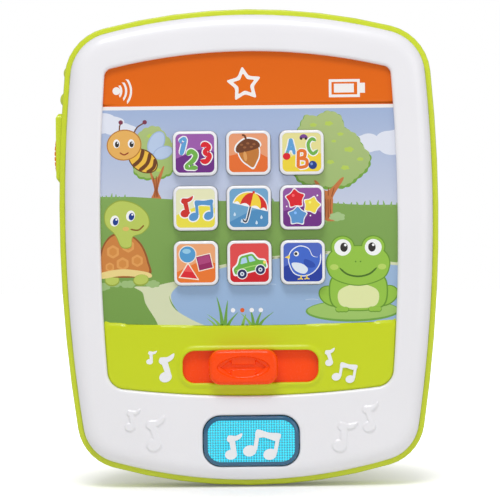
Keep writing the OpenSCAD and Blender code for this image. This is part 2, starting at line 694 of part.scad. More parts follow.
module switch_knob() color("orangered") translate([-side_x(switch_y), switch_y - switch_travel / 2,
                                                  (housing_z[0] + housing_z[1]) / 2]) rotate([0, -90, 0]) {
    // thumb pad with a curved top and five grooves
    difference() {
        intersection() {
            translate([0, 0, 0.35]) linear_extrude(housing_rise + 1) rounded([6.6, switch_l], 1.6);
            translate([0, 0, housing_rise + 0.9 - 40]) rotate([0, 90, 0]) cylinder(r = 40, h = 10, center = true);
        }
        for (i = [-2 : 2]) box([8, 0.7, 1], [0, i * 2.4, housing_rise + 0.45]);
    }
    translate([0, 0, -wall - 1]) linear_extrude(wall + 2) rounded([2.2, 4.4], 1);
}

module switch_actuator() color("black") translate([-side_x(switch_y) + wall + 1.05, switch_y - switch_travel / 2,
                                                  (housing_z[0] + housing_z[1]) / 2])
    box([2.6, 3.6, 2], [1.3, 0, -1]);

module switch_body() color("silver") difference() {
    translate([-side_x(switch_y) + wall + 2.2, switch_y, (housing_z[0] + housing_z[1]) / 2]) {
        box([4.4, 20, 5.6], [2.2, 0, -2.8]);
        for (i = [-1 : 1]) box([3, 0.7, 0.5], [5.6, i * 1.5, -0.25]);
    }
    translate([-side_x(switch_y) + wall + 1.2, switch_y, (housing_z[0] + housing_z[1]) / 2])
        box([6, switch_travel + 4.4, 2.4], [0, 0, -1.2]);
}

// ---------------------------------------------------------------- fasteners

module case_screws() color("silver") both_sides() for (p = case_posts) screw(p, 9 - 1.75, 11);
module deck_screws() color("silver") both_sides() for (p = deck_posts) screw(p, deck_z - 4.35 - 1.7, 5.6);
module board_screws() color("silver") both_sides() {
    for (p = board_posts) screw(p, board_z - board_t - 1.75, 6);
    screw([light_post_x, light_y], board_z - board_t - 1.75, 6);
}
module guide_screws() color("silver") both_sides() for (y = [-1, 1])
    screw([guide_posts[0], slot_y + y * guide_posts[1]], guide_z - 1.75, 5.4);
module knob_screws() color("silver") both_sides() screw([8, slot_y], carriage_z - 1.35, 5.4);
module speaker_screws() color("silver") for (p = speaker_posts) screw_down(p, 5, 3.6);
module door_screws() color("silver") both_sides() screw([door_screw_x, cells_y], 0.55, 6.8);

// The same screw driven towards the back, its head's underside at z
module screw_down(at, z, length) translate([0, 0, z + 1.7]) mirror([0, 0, 1]) screw(at, 0, length);

// ---------------------------------------------------------------- wires

wire_r = 0.6;
solder_z = board_z - board_t - wire_r - 0.1;

// A pair of wires along one curve, offset sideways from each other
module pair(p, offset) color("crimson") for (s = [0, 1])
    tube(curve([for (q = p) q + s * offset]), wire_r, ref = offset);

module battery_wires() pair([[-30.4, cells_y - 15, 9], [-36, cells_y - 15, 8], [-35, 12, 9],
                             [-33, 9, solder_z - 0.6]], [1.4, 0.8, -1.4]);
module speaker_wires() pair([[13, speaker_y, 6], [14, speaker_y, 12], [22, -30, 9], [22, -10, solder_z]],
                            [1.5, 0, 0]);
module light_wires() pair([[-26, light_y + 7, solder_z], [-30, light_y + 22, 9], [-38, -40, 9],
                           [-24, -11, solder_z]], [1.5, 0, 0]);
module slider_wires() pair([[28, slot_y, guide_z + 1.1], [28, slot_y, 11], [29, -30, 12], [27, -11, solder_z]],
                           [1.5, 0, 0]);
module switch_wires() pair([[-73.2, switch_y - 1.5, 13], [-64, switch_y - 1.5, 12], [-50, 46, 10],
                            [-37, 47, solder_z]], [0, 1.5, 0]);

// ---------------------------------------------------------------- nodes

stand() rear_shell();
stand() front_bezel();
stand() control_deck();
stand() screen_sheet();
for (i = [0 : 8]) {
    stand() key_with_plunger(i);
    stand() label(i);
}
stand() keypad_membrane();
stand() at_rest() slider_knob();
stand() at_rest() slider_carriage();
stand() at_rest() slider_wiper();
stand() slider_guide();
stand() slider_board();
stand() light_lens();
stand() light_reflector();
stand() light_board();
stand() light_leds();
stand() light_domes();
stand() main_board();
stand() board_chip();
stand() board_components();
stand() speaker_basket();
stand() speaker_cone();
stand() speaker_magnet();
stand() battery_door();
stand() cell(0);  // battery_top
stand() cell(1);  // battery_middle
stand() cell(2);  // battery_bottom
stand() battery_springs();
stand() battery_plates();
stand() switch_knob();
stand() switch_actuator();
stand() switch_body();
stand() case_screws();
stand() deck_screws();
stand() board_screws();
stand() guide_screws();
stand() at_rest() knob_screws();
stand() speaker_screws();
stand() door_screws();
stand() battery_wires();
stand() speaker_wires();
stand() light_wires();
stand() slider_wires();
stand() switch_wires();
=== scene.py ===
"""Toddler toy tablet: shells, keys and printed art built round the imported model.

Shapes are drawn in millimetres on the bench: x to the right, y up the tablet, z out of its face.
row() turns them into the model's frame in metres. A printed shape is (loop, colour), or
(loop, colour at its foot, colour at its top), and lies over the shapes before it.
"""

import math
from collections import namedtuple
from fnmatch import filter as matching

import bpy
import numpy as np
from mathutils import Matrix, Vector
from mathutils.geometry import delaunay_2d_cdt


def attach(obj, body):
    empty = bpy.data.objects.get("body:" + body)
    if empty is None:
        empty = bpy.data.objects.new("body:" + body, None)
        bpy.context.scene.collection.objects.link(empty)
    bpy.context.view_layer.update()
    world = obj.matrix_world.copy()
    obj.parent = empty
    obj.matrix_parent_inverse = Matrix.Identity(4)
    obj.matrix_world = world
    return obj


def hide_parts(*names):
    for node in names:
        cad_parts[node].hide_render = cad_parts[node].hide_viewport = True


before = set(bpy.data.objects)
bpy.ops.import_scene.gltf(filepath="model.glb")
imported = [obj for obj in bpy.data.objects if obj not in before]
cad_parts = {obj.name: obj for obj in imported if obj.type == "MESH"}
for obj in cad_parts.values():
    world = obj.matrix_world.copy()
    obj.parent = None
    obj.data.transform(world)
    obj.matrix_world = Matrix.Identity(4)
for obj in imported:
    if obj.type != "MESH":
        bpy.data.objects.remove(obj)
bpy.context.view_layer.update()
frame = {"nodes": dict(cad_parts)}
NODES = frame["nodes"]

# ---------- sizes, as in the model

CROWN = 28.0
RING = 2.8
SHEET = CROWN - 2.5
DECK = SHEET - 0.3
PANEL = DECK + 1.1
SLOT_LIP = PANEL + 0.7
KEY_TOP = SHEET + 3.5
KEY_FOOT = DECK - 3.5
KEY = 20.0
PITCH_X = 24.0
PITCH_Y = 24.7
KEYS_Y = 17.7
SLOT = (61.2, 14.6)
SLOT_Y = -53.8
SLIDER_X = -3.2
KNOB = (31.0, 15.4)
KNOB_TOP = PANEL + 6.4
LENS = (43.0, 22.4)
LENS_TOP = CROWN + 0.6
LIGHT_Y = -87.2
KEY_NAMES = ["numbers", "acorn", "letters", "music", "umbrella", "stars", "shapes", "car", "bird"]

Frame = namedtuple("Frame", "side top low side_radius side_y top_radius low_radius top_corner low_corner")
BODY = Frame(86.0, 108.0, -108.0, 655.0, 16.5, 266.0, 231.0, 23.5, 21.5)
SCREEN = Frame(67.0, 88.35, -66.95, 900.0, 11.0, 266.0, 480.0, 4.0, 8.0)


def row(x, y, z):
    return (x / 1000, -z / 1000, y / 1000)


def rgb(r, g, b):
    """Linear colour of a screen colour given as 0 to 255."""
    return tuple((c / 255 / 12.92) if c < 10 else ((c / 255 + 0.055) / 1.055) ** 2.4 for c in (r, g, b))


# ---------- outlines

def polar(cx, cy, r, degrees):
    a = math.radians(degrees)
    return (cx + r * math.cos(a), cy + r * math.sin(a))


def arc(cx, cy, r, a, b, n):
    """n points on an arc from a towards b, in degrees, without its last point."""
    return [polar(cx, cy, r, a + (b - a) * i / n) for i in range(n)]


def meeting(p, a, q, b, left):
    """The point at distances a from p and b from q; left is 1 or -1, its side of the way from p to q."""
    p, q = np.array(p), np.array(q)
    d = np.linalg.norm(q - p)
    x = (a * a - b * b + d * d) / (2 * d)
    u = (q - p) / d
    return p + u * x + left * math.sqrt(a * a - x * x) * np.array([-u[1], u[0]])


def heading(p, q):
    return math.degrees(math.atan2(q[1] - p[1], q[0] - p[0]))


def outline(f, d):
    """Closed loop of a frame's eight tangent arcs, inset by d."""
    side = (f.side - f.side_radius, f.side_y)
    top = (0, f.top - f.top_radius)
    low = (0, f.low + f.low_radius)
    tc = meeting(top, f.top_radius - f.top_corner, side, f.side_radius - f.top_corner, -1)
    bc = meeting(low, f.low_radius - f.low_corner, side, f.side_radius - f.low_corner, 1)
    turns = [-90, heading(low, bc), heading(side, bc), heading(side, tc), heading(top, tc), 90]
    arcs = [(low, f.low_radius, 24), (bc, f.low_corner, 14), (side, f.side_radius, 50),
        (tc, f.top_corner, 14), (top, f.top_radius, 24)]
    half = [p for (centre, r, n), a, b in zip(arcs, turns, turns[1:]) for p in arc(*centre, r - d, a, b, n)]
    half.append((0, f.top - d))
    return half + [(-x, y) for x, y in half[-2:0:-1]]


def rounded(w, h, r, d=0.0, at=(0, 0), n=8, bulge=0.0):
    """Rounded rectangle inset by d; bulge pushes the middle of its long sides out."""
    w, h, r = w / 2 - d, h / 2 - d, max(r - d, 0.05)
    loop = []
    for sx, sy, a in ((1, -1, -90), (1, 1, 0), (-1, 1, 90), (-1, -1, 180)):
        corner = (sx * (w - r), sy * (h - r))
        loop += arc(*corner, r, a, a + 90, n) + [polar(*corner, r, a + 90)]
    out = []
    for (x0, y0), (x1, y1) in zip(loop, loop[1:] + loop[:1]):
        steps = max(1, int(math.hypot(x1 - x0, y1 - y0) / 1.2))
        out += [(x0 + (x1 - x0) * i / steps, y0 + (y1 - y0) * i / steps) for i in range(steps)]
    return [(at[0] + x, at[1] + y + math.copysign(bulge * max(0, 1 - (x / w) ** 2), y)) for x, y in out]


def move(loop, at=(0, 0), k=1.0, turn=0.0):
    c, s = math.cos(math.radians(turn)), math.sin(math.radians(turn))
    return [(at[0] + k * (x * c - y * s), at[1] + k * (x * s + y * c)) for x, y in loop]


def disc(cx, cy, r, n=28, ry=None, turn=0.0):
    ry = r if ry is None else ry
    angles = [2 * math.pi * i / n for i in range(n)]
    return move([(r * math.cos(a), ry * math.sin(a)) for a in angles], (cx, cy), 1, turn)


def smooth(points, steps=8, closed=True):
    """Catmull-Rom curve through points."""
    n = len(points)
    index = np.arange(n if closed else n - 1)[:, None] + (-1, 0, 1, 2)
    index = index % n if closed else np.clip(index, 0, n - 1)
    a, b, c, d = np.array(points, float)[index].transpose(1, 0, 2)[:, :, None]
    t = (np.arange(steps) / steps)[:, None]
    curve = 0.5 * (2 * b + (c - a) * t + (2 * a - 5 * b + 4 * c - d) * t * t
        + (3 * b - a - 3 * c + d) * t ** 3)
    return curve.reshape(-1, 2).tolist() + ([] if closed else [points[-1]])


def scaled(loop, cx, cy, kx, ky):
    return [(cx + (x - cx) * kx, cy + (y - cy) * ky) for x, y in loop]


def stroke(points, w):
    """Band of width w along a smooth open curve, with round-looking ends."""
    line = np.array(smooth(points, 8, False))
    ahead = np.vstack([line[1:], line[-1:]]) - np.vstack([line[:1], line[:-1]])
    u = np.arange(len(line)) / (len(line) - 1)
    half = w / 2 * np.sqrt(np.clip(np.minimum(10 * u, 10 * (1 - u)), 0.12, 1)) / np.hypot(*ahead.T)
    side = np.column_stack([ahead[:, 1], -ahead[:, 0]]) * half[:, None]
    return (line + side).tolist() + (line - side)[::-1].tolist()


def star(cx, cy, r, inner=0.5, turn=90, points=5):
    return [polar(cx, cy, r * inner if i % 2 else r, turn + 180 * i / points) for i in range(2 * points)]


def box_loop(x0, y0, x1, y1):
    return [(x0, y0), (x1, y0), (x1, y1), (x0, y1)]


def blob(x0, y0, x1, y1, bumps, seed=0, depth=0.12):
    """Rounded leafy or cloudy outline filling a box."""
    cx, cy, rx, ry = (x0 + x1) / 2, (y0 + y1) / 2, (x1 - x0) / 2, (y1 - y0) / 2
    out = []
    for i in range(bumps * 8):
        a = 2 * math.pi * i / (bumps * 8)
        r = 1 - depth * (1 - abs(math.sin(a * bumps / 2 + seed))) - 0.03 * math.sin(3 * a + seed)
        out.append((cx + rx * r * math.cos(a), cy + ry * r * math.sin(a)))
    return out


def area(loop):
    return 0.5 * sum(x0 * y1 - x1 * y0 for (x0, y0), (x1, y1) in zip(loop, loop[1:] + loop[:1]))


def ccw(loop):
    return loop if area(loop) > 0 else loop[::-1]


def soften(loop, r=0.5, n=3):
    """Rounds a polygon's corners by about r."""
    loop = np.array(loop)
    out = []
    for before, corner, after in zip(np.roll(loop, 1, 0), loop, np.roll(loop, -1, 0)):
        p, q = [corner + (end - corner) * min(r / math.dist(end, corner), 0.45) for end in (before, after)]
        out += [(1 - t) ** 2 * p + 2 * t * (1 - t) * corner + t * t * q for t in np.arange(n + 1) / n]
    return np.array(out).tolist()


# Notes of height 1, standing on y = 0, as lists of overlapping loops
QUAVER = [disc(0.22, 0.18, 0.22, 22, 0.18, 16),
    [(0.24, 0.2), (0.43, 0.22), (0.29, 0.74), (0.08, 0.68)],
    smooth([(0, 0.69), (0.03, 0.84), (0.14, 0.87), (0.3, 0.88), (0.52, 1), (0.5, 0.84), (0.38, 0.73),
    (0.24, 0.67), (0.13, 0.6)], 5)]
PAIR = [disc(0.22, 0.31, 0.22, 22, 0.18, 14), disc(0.88, 0.19, 0.22, 22, 0.18, 14),
    [(0.32, 0.3), (0.46, 0.33), (0.56, 0.9), (0.43, 0.93)],
    [(0.98, 0.2), (1.11, 0.22), (1.22, 0.8), (1.09, 0.8)],
    smooth([(0.42, 0.74), (0.7, 0.74), (1.12, 0.62), (1.23, 0.85), (0.84, 0.9), (0.47, 1.0)], 5)]
# Each note's shape, foot, height and turn
BEZEL_NOTES = [(QUAVER, (-57.2, -82), 10.9, -10), (QUAVER, (-47.2, -91.5), 16, 0),
    (QUAVER, (35.6, -91.4), 15.4, -18), (QUAVER, (50.1, -83.8), 13.6, 0)]
PANEL_NOTES = [(QUAVER, (-47.2, -52), 6.8, -14), (QUAVER, (-41.2, -60.5), 13, 0),
    (QUAVER, (33.6, -53.9), 8.2, 0), (PAIR, (36.5, -61.7), 9.4, 0)]
LENS_NOTES = [(QUAVER, (-12.2, LIGHT_Y - 7.8), 12.4, -8), (PAIR, (-3.8, LIGHT_Y - 8.6), 13.8, 0)]


def note_loops(shape, at, k, turn):
    return [move(loop, at, k, turn) for loop in shape]


# ---------- distances and triangles

def inset(p, loop):
    """Distance from each point to a closed loop, positive inside."""
    p = np.asarray(p, float)
    a = np.asarray(loop, float)
    b = np.roll(a, -1, 0)
    best = np.full(len(p), 1e9)
    odd = np.zeros(len(p), bool)
    for (ax, ay), (bx, by) in zip(a.tolist(), b.tolist()):
        ex, ey = bx - ax, by - ay
        px, py = p[:, 0] - ax, p[:, 1] - ay
        t = np.minimum(np.maximum((px * ex + py * ey) / (ex * ex + ey * ey + 1e-12), 0), 1)
        best = np.minimum(best, (px - t * ex) ** 2 + (py - t * ey) ** 2)
        if ay != by:
            odd ^= ((ay > p[:, 1]) != (by > p[:, 1])) & (px < ex * py / ey)
    return np.where(odd, 1, -1) * np.sqrt(best)


def triangles(loops, extra=()):
    """Points and triangles of the even-odd area of the loops, keeping extra (points, closed) lines in it."""
    verts, edges = [], []
    for points, closed in [(loop, True) for loop in loops] + list(extra):
        n, m = len(verts), len(points)
        verts += [tuple(p) for p in points]
        if closed:
            edges += [(n + i, n + (i + 1) % m) for i in range(m)]
    out, _, faces, *_ = delaunay_2d_cdt([Vector(v) for v in verts], edges, [], 0, 1e-7)
    xy = np.array([(v.x, v.y) for v in out])
    tri = np.array([f for f in faces if len(f) == 3])
    mid = xy[tri].mean(1)
    tri = tri[sum((inset(mid, loop) > 0).astype(int) for loop in loops) % 2 == 1]
    a, b, c = xy[tri[:, 0]], xy[tri[:, 1]], xy[tri[:, 2]]
    turn = (b[:, 0] - a[:, 0]) * (c[:, 1] - a[:, 1]) - (b[:, 1] - a[:, 1]) * (c[:, 0] - a[:, 0])
    return xy, np.where(turn[:, None] > 0, tri, tri[:, ::-1])


def round_drop(d, r, h):
    """How far a rounded edge of depth h lies below its flat, at distance d from the edge."""
    t = np.clip(1 - np.asarray(d) / r, 0, 1)
    return h * (1 - np.sqrt(np.maximum(0, 1 - t * t)))


def step(d, w):
    """0 outside an edge, 1 inside it, smooth over a band w wide."""
    t = np.clip(np.asarray(d) / w + 0.5, 0, 1)
    return t * t * (3 - 2 * t)


# ---------- objects

def add_object(name, data):
    obj = bpy.data.objects.new(name, data)
    bpy.context.scene.collection.objects.link(obj)
    return obj


def new_object(name, verts, faces, body, material, smooth_to=35):
    mesh = bpy.data.meshes.new(name)
    mesh.from_pydata([row(*v) for v in verts], [], [list(map(int, f)) for f in faces])
    mesh.validate()
    mesh.polygons.foreach_set("use_smooth", [True] * len(mesh.polygons))
    mesh.set_sharp_from_angle(angle=math.radians(smooth_to))
    mesh.materials.append(material)
    obj = add_object(name, mesh)
    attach(obj, body)
    return obj


def close_below(verts, faces, loops, depths):
    """Adds the lower face and the side walls under a top whose first points are the loops' points."""
    low_xy, low_tri = triangles(loops)
    n, start = len(verts), 0
    verts += [(x, y, z) for (x, y), z in zip(low_xy, np.repeat(depths, [len(loop) for loop in loops]))]
    faces += [(n + c, n + b, n + a) for a, b, c in low_tri]
    for i, loop in enumerate(loops):
        m = len(loop)
        forward = (area(loop) > 0) == (i == 0)
        for k in range(m):
            a, b = start + k, start + (k + 1) % m
            faces.append((n + a, n + b, b, a) if forward else (a, b, n + b, n + a))
        start += m


def plate(name, loops, z_of, z_low, body, material, rings=(), grid=3.0, spots=(), smooth_to=35):
    """Closed plate: its top follows z_of, its walls drop from loops to z_low, or to one z_low per loop.

    rings are further loops the top's mesh keeps; spots are (box, step) areas with a finer mesh."""
    lo, hi = np.min(loops[0], 0), np.max(loops[0], 0)
    gx, gy = np.meshgrid(np.arange(lo[0], hi[0], grid), np.arange(lo[1], hi[1], grid))
    points = np.stack([gx.ravel(), gy.ravel()], 1)
    for (x0, y0, x1, y1), fine in spots:
        inside = (points[:, 0] > x0) & (points[:, 0] < x1) & (points[:, 1] > y0) & (points[:, 1] < y1)
        fx, fy = np.meshgrid(np.arange(x0, x1, fine), np.arange(y0, y1, fine))
        points = np.concatenate([points[~inside], np.stack([fx.ravel(), fy.ravel()], 1)])
    keep = np.ones(len(points), bool)
    for i, loop in enumerate(loops):
        d = inset(points, loop)
        keep &= (d > 0.3) if i == 0 else (d < -0.3)
    for ring in rings:
        keep &= np.abs(inset(points, ring)) > 0.2
    xy, tri = triangles(loops, [(r, True) for r in rings] + [(points[keep].tolist(), False)])
    verts, faces = np.column_stack([xy, z_of(xy)]).tolist(), tri.tolist()
    close_below(verts, faces, loops, z_low if isinstance(z_low, list) else [z_low] * len(loops))
    return new_object(name, verts, faces, body, material, smooth_to)


def set_ink(obj, domain, colours):
    attr = obj.data.color_attributes.new("ink", "FLOAT_COLOR", domain)
    attr.data.foreach_set("color", [c for four in colours for c in four])


def white_print(name, notes, z, body):
    """Notes in raised white ink: each loop is a thin closed slab, one layer above the last."""
    verts, faces = [], []
    for layer, loop in enumerate([ccw(loop) for note in notes for loop in note_loops(*note)], 1):
        xy, tri = triangles([loop])
        slab, sides = [(x, y, z + INK_LAYER * layer) for x, y in xy], tri.tolist()
        close_below(slab, sides, [loop], [z])
        faces += [[len(verts) + i for i in face] for face in sides]
        verts += slab
    obj = new_object(name, verts, faces, body, INK, 20)
    set_ink(obj, "POINT", [(*WHITE_INK, 1)] * len(verts))


def printed(name, outlines, shapes, z_top, z_low, body, material):
    """Closed flat sheet whose top has the colour of the last shape over each spot."""
    shapes = [(ccw([tuple(map(float, p)) for p in loop]), colours) for loop, *colours in shapes]
    xy, tri = triangles(outlines, [(loop, True) for loop, _ in shapes])
    mid = xy[tri].mean(1)
    owner = np.zeros(len(tri), int)
    for i, (loop, _) in enumerate(shapes):
        owner[inset(mid, loop) > 0] = i
    verts, faces = [(x, y, z_top) for x, y in xy], tri.tolist()
    close_below(verts, faces, outlines, [z_low] * len(outlines))
    obj = new_object(name, verts, faces, body, material, 20)
    spans = [(min(p[1] for p in loop), max(p[1] for p in loop)) for loop, _ in shapes]
    corners = []
    for poly in obj.data.polygons:
        i = owner[poly.index] if poly.index < len(tri) else 0
        (foot, top), colours = spans[i], shapes[i][1]
        for v in poly.vertices:
            t = min(1, max(0, (verts[v][1] - foot) / max(1e-6, top - foot)))
            corners.append([a * (1 - t) + b * t for a, b in zip(colours[0], colours[-1])] + [1.0])
    set_ink(obj, "CORNER", corners)
    return obj


# ---------- materials

def adjust(node, **values):
    """Sets a node's settings and inputs by name, with underscores for spaces."""
    for key, value in values.items():
        if hasattr(node, key):
            setattr(node, key, value)
        else:
            node.inputs[key.replace("_", " ")].default_value = value
    return node


def wiring(tree):
    """add() makes a node with its settings and inputs, join() links an output to an input."""
    def add(kind, **values):
        return adjust(tree.nodes.new("ShaderNode" + kind), **values)

    def join(start, output, end, socket):
        tree.links.new(start.outputs[output], end.inputs[socket])

    return add, join


def new_material(name):
    mat = bpy.data.materials.new(name)
    mat.use_nodes = True
    return mat, mat.node_tree.nodes["Principled BSDF"], *wiring(mat.node_tree)


def painted_prism_shading(add, join, where, tint, pitch):
    """Painted light and shade: lighter and darker facets in a diagonal net over the face, as cut prisms show
    under light.
    """
    waves = []
    for axis in ((1, 0, 1), (1, 0, -1)):
        along = add("VectorMath", operation="DOT_PRODUCT")
        along.inputs[1].default_value = [c * math.pi / pitch for c in axis]
        join(where, "Object", along, 0)
        waves.append(add("Math", operation="SINE"))
        join(along, "Value", waves[-1], 0)
    both = add("Math", operation="MULTIPLY")
    for i, wave in enumerate(waves):
        join(wave, "Value", both, i)
    facets = add("MapRange", From_Min=-1.0, From_Max=1.0, To_Min=0.35, To_Max=1.7)
    join(both, "Value", facets, "Value")
    out = add("VectorMath", operation="SCALE")
    join(tint, "Vector", out, 0)
    join(facets, "Result", out, "Scale")
    return out


def plastic(name, colour, rough=0.3, coat=0.35, grain=0.00006, scale=900, spread=0.03, glow=0.0, metal=0.0,
            ink=False, mottle=22, level=0.5, prism_shade_pitch=0.0):
    """Moulded or printed surface: slight colour and gloss variation over a fine moulded grain."""
    mat, shader, add, join = new_material(name)
    where = add("TexCoord")
    broad = add("TexNoise", Scale=mottle, Detail=3.0)
    fine = add("TexNoise", Scale=scale, Detail=2.0)
    for tex in (broad, fine):
        join(where, "Object", tex, "Vector")
    vary = add("MapRange", To_Min=1 - spread, To_Max=1 + spread)
    join(broad, "Fac", vary, "Value")
    tint = add("VectorMath", operation="SCALE")
    if ink:
        source = add("Attribute", attribute_name="ink")
        join(source, "Color", tint, 0)
    else:
        tint.inputs[0].default_value = colour
    join(vary, "Result", tint, "Scale")
    # painted light and shade of prism facets over the colour
    if prism_shade_pitch:
        tint = painted_prism_shading(add, join, where, tint, prism_shade_pitch)
    join(tint, "Vector", shader, "Base Color")
    gloss = add("MapRange", To_Min=rough * 0.85, To_Max=rough * 1.2)
    join(fine, "Fac", gloss, "Value")
    join(gloss, "Result", shader, "Roughness")
    bump = add("Bump", Strength=0.35, Distance=grain)
    join(fine, "Fac", bump, "Height")
    join(bump, "Normal", shader, "Normal")
    adjust(shader, Metallic=metal, Coat_Weight=coat, Coat_Roughness=0.12, Specular_IOR_Level=level)
    if glow:
        join(tint, "Vector", shader, "Emission Color")
        adjust(shader, Emission_Strength=glow)
    return mat


WHITE_INK = rgb(240, 241, 244)
INK_LAYER = 0.05
LIME = plastic("lime_case", rgb(208, 222, 50), 0.34, 0.15, level=0.35)
LIME_PANEL = plastic("lime_panel", rgb(203, 217, 24), 0.32, 0.15, level=0.3)
WHITE = plastic("white_case", rgb(240, 239, 243), 0.3, 0.35)
KEY_WHITE = plastic("key_white", rgb(240, 240, 243), 0.22, 0.5)
# the orange plastic glows faintly though it is no lamp: painted light
ORANGE = plastic("orange_knob", rgb(255, 74, 0), 0.26, 0.28, level=0.14, glow=0.05)
INK = plastic("printed_ink", (1, 1, 1), 0.36, 0.1, 0.00003, 1400, 0.02, ink=True, level=0.25)
GLOSS_INK = plastic("glossy_ink", (1, 1, 1), 0.2, 0.45, 0.00002, 1400, 0.02, ink=True, level=0.3)
# the lens face carries painted light and shade of its prism facets
CYAN = plastic("cyan_lens", rgb(40, 196, 222), 0.2, 0.3, 0.00004, 700, 0.05, glow=0.2, prism_shade_pitch=0.00115)
# a darker copy of the lens colour for its rounded edge: painted shade
CYAN_SHADED_EDGE = plastic("cyan_lens_edge_painted_shade", rgb(28, 92, 128), 0.12, 0.8, 0.00004, 700, 0.06)
# CAD nodes that show as they are, under their material
PLAIN_NODES = [
    (LIME, "rear_shell battery_door"),
    (ORANGE, "slider_carriage"),
    (plastic("switch_orange", rgb(238, 138, 40), 0.36, 0.1, level=0.25), "switch_knob"),
    (plastic("inner_white", rgb(222, 222, 220), 0.55, 0.0), "slider_guide light_reflector"),
    (plastic("inner_black", rgb(34, 34, 36), 0.5, 0.1, 0.0001, 500),
     "board_chip board_components switch_actuator"),
    (plastic("circuit_board", rgb(28, 108, 58), 0.35, 0.4, 0.0001, 260, 0.25, mottle=180),
     "slider_board light_board main_board"),
    (plastic("plated_steel", rgb(196, 196, 194), 0.3, 0.0, 0.0001, 1600, 0.05, metal=1.0),
     "speaker_basket battery_springs battery_plates switch_body *_screws"),
    (plastic("contact_brass", rgb(214, 178, 100), 0.3, 0.0, 0.00008, 1600, 0.05, metal=1.0), "slider_wiper"),
    (plastic("silicone", rgb(206, 206, 204), 0.7, 0.0, 0.0001, 700), "light_domes keypad_membrane"),
    (plastic("speaker_paper", rgb(52, 52, 54), 0.85, 0.0, 0.0003, 420, 0.15), "speaker_cone"),
    (plastic("magnet_grey", rgb(92, 94, 98), 0.6, 0.0, 0.0002, 380, 0.12, metal=0.6), "speaker_magnet"),
    (plastic("cell_jacket", rgb(74, 118, 170), 0.28, 0.4, 0.00005, 900, 0.1),
     "battery_top battery_middle battery_bottom"),
    (plastic("wire_red", rgb(196, 42, 36), 0.45, 0.1, 0.0001, 900), "*_wires"),
    (plastic("led_clear", rgb(226, 236, 246), 0.1, 0.7, 0.00002, 900), "light_leds"),
]


def welded(rows):
    """For each row of whole numbers, the number of its group of equal rows."""
    return np.unique(rows, axis=0, return_inverse=True)[1].ravel()


def mark_sharp_edges(mesh, degrees):
    """Marks the edges whose faces meet at more than the angle; a CAD mesh repeats the points they share."""
    def read(items, key, width, kind):
        values = np.empty(len(items) * width, kind)
        items.foreach_get(key, values)
        return values.reshape(-1, width)

    point = welded(np.round(read(mesh.vertices, "co", 3, np.float32) * 1e7).astype(int))
    edge = welded(np.sort(point[read(mesh.edges, "vertices", 2, np.int32)], axis=1))
    sides = edge[read(mesh.loops, "edge_index", 1, np.int32).ravel()]
    owner = np.repeat(np.arange(len(mesh.polygons)), read(mesh.polygons, "loop_total", 1, np.int32).ravel())
    normals = read(mesh.polygons, "normal", 3, np.float32)[owner[np.argsort(sides, kind="stable")]]
    count = np.bincount(sides, minlength=edge.max() + 1)
    first = np.cumsum(count) - count
    second = np.minimum(first + 1, len(normals) - 1)
    turn = np.einsum("ij,ij->i", normals[np.minimum(first, len(normals) - 1)], normals[second])
    sharp = (count == 2) & (turn < math.cos(math.radians(degrees)))
    mesh.edges.foreach_set("use_edge_sharp", sharp[edge])


def finish_node(name, material):
    """Gives a CAD node its material, and smooth shading over its facets."""
    obj = NODES[name]
    mesh = obj.data
    mesh.materials.clear()
    mesh.materials.append(material)
    if "custom_normal" in mesh.attributes:
        mesh.attributes.remove(mesh.attributes["custom_normal"])
    mesh.polygons.foreach_set("use_smooth", [True] * len(mesh.polygons))
    mark_sharp_edges(mesh, 38)
    obj.modifiers.new("weld", "WELD").merge_threshold = 1e-7
    obj.modifiers.new("shading", "WEIGHTED_NORMAL").keep_sharp = True


for finish, patterns in PLAIN_NODES:
    for pattern in patterns.split():
        for node_name in matching(NODES, pattern):
            finish_node(node_name, finish)

# ---------- white bezel

# radius and depth of the rounded edges at the rim, the screen opening and the light button's hole
RIM_EDGE = (7.5, 5.6)
SCREEN_EDGE = (1.8, 1.3)
HOLE_EDGE = (1.2, 0.8)
NOTE_RELIEF = 0.68
body_rings = [outline(BODY, RING + d) for d in (0, 0.03, 0.15, 0.4, 0.8, 1.4, 2.2, 3.2, 4.4, 5.8, 7.5)]
screen_rings = [outline(SCREEN, -d) for d in (0, 0.06, 0.25, 0.55, 0.95, 1.4, 1.8)]
hole_rings = [rounded(LENS[0] + 0.7, LENS[1] + 0.7, 8.1, -d, (0, LIGHT_Y), 10)
    for d in (0, 0.12, 0.4, 0.8, 1.2)]
bezel_notes = [note_loops(*note) for note in BEZEL_NOTES]


def corners_of(loops, margin):
    """Corners of the loops' common box, grown by a margin."""
    points = np.array([p for loop in loops for p in loop])
    return points.min(0) - margin, points.max(0) + margin


def bezel_z(xy):
    z = CROWN - round_drop(inset(xy, body_rings[0]), *RIM_EDGE)
    z -= round_drop(-inset(xy, screen_rings[0]), *SCREEN_EDGE)
    z -= round_drop(-inset(xy, hole_rings[0]), *HOLE_EDGE)
    for loops in bezel_notes:
        lo, hi = corners_of(loops, 2)
        near = np.all((xy > lo) & (xy < hi), axis=1)
        if near.any():
            d = np.max([inset(xy[near], loop) for loop in loops], axis=0)
            z[near] += NOTE_RELIEF * step(d - 0.1, 0.85)
    return z


bezel = plate("front_bezel_shell", [body_rings[0], screen_rings[0], hole_rings[0]], bezel_z,
    [19.0, 24.7, 19.0], "case", WHITE, body_rings[1:] + screen_rings[1:] + hole_rings[1:], 3.0,
    [(np.concatenate(corners_of(loops, 1)), 0.36) for loops in bezel_notes], 50)
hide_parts("front_bezel")

# ---------- lime deck with the slider panel

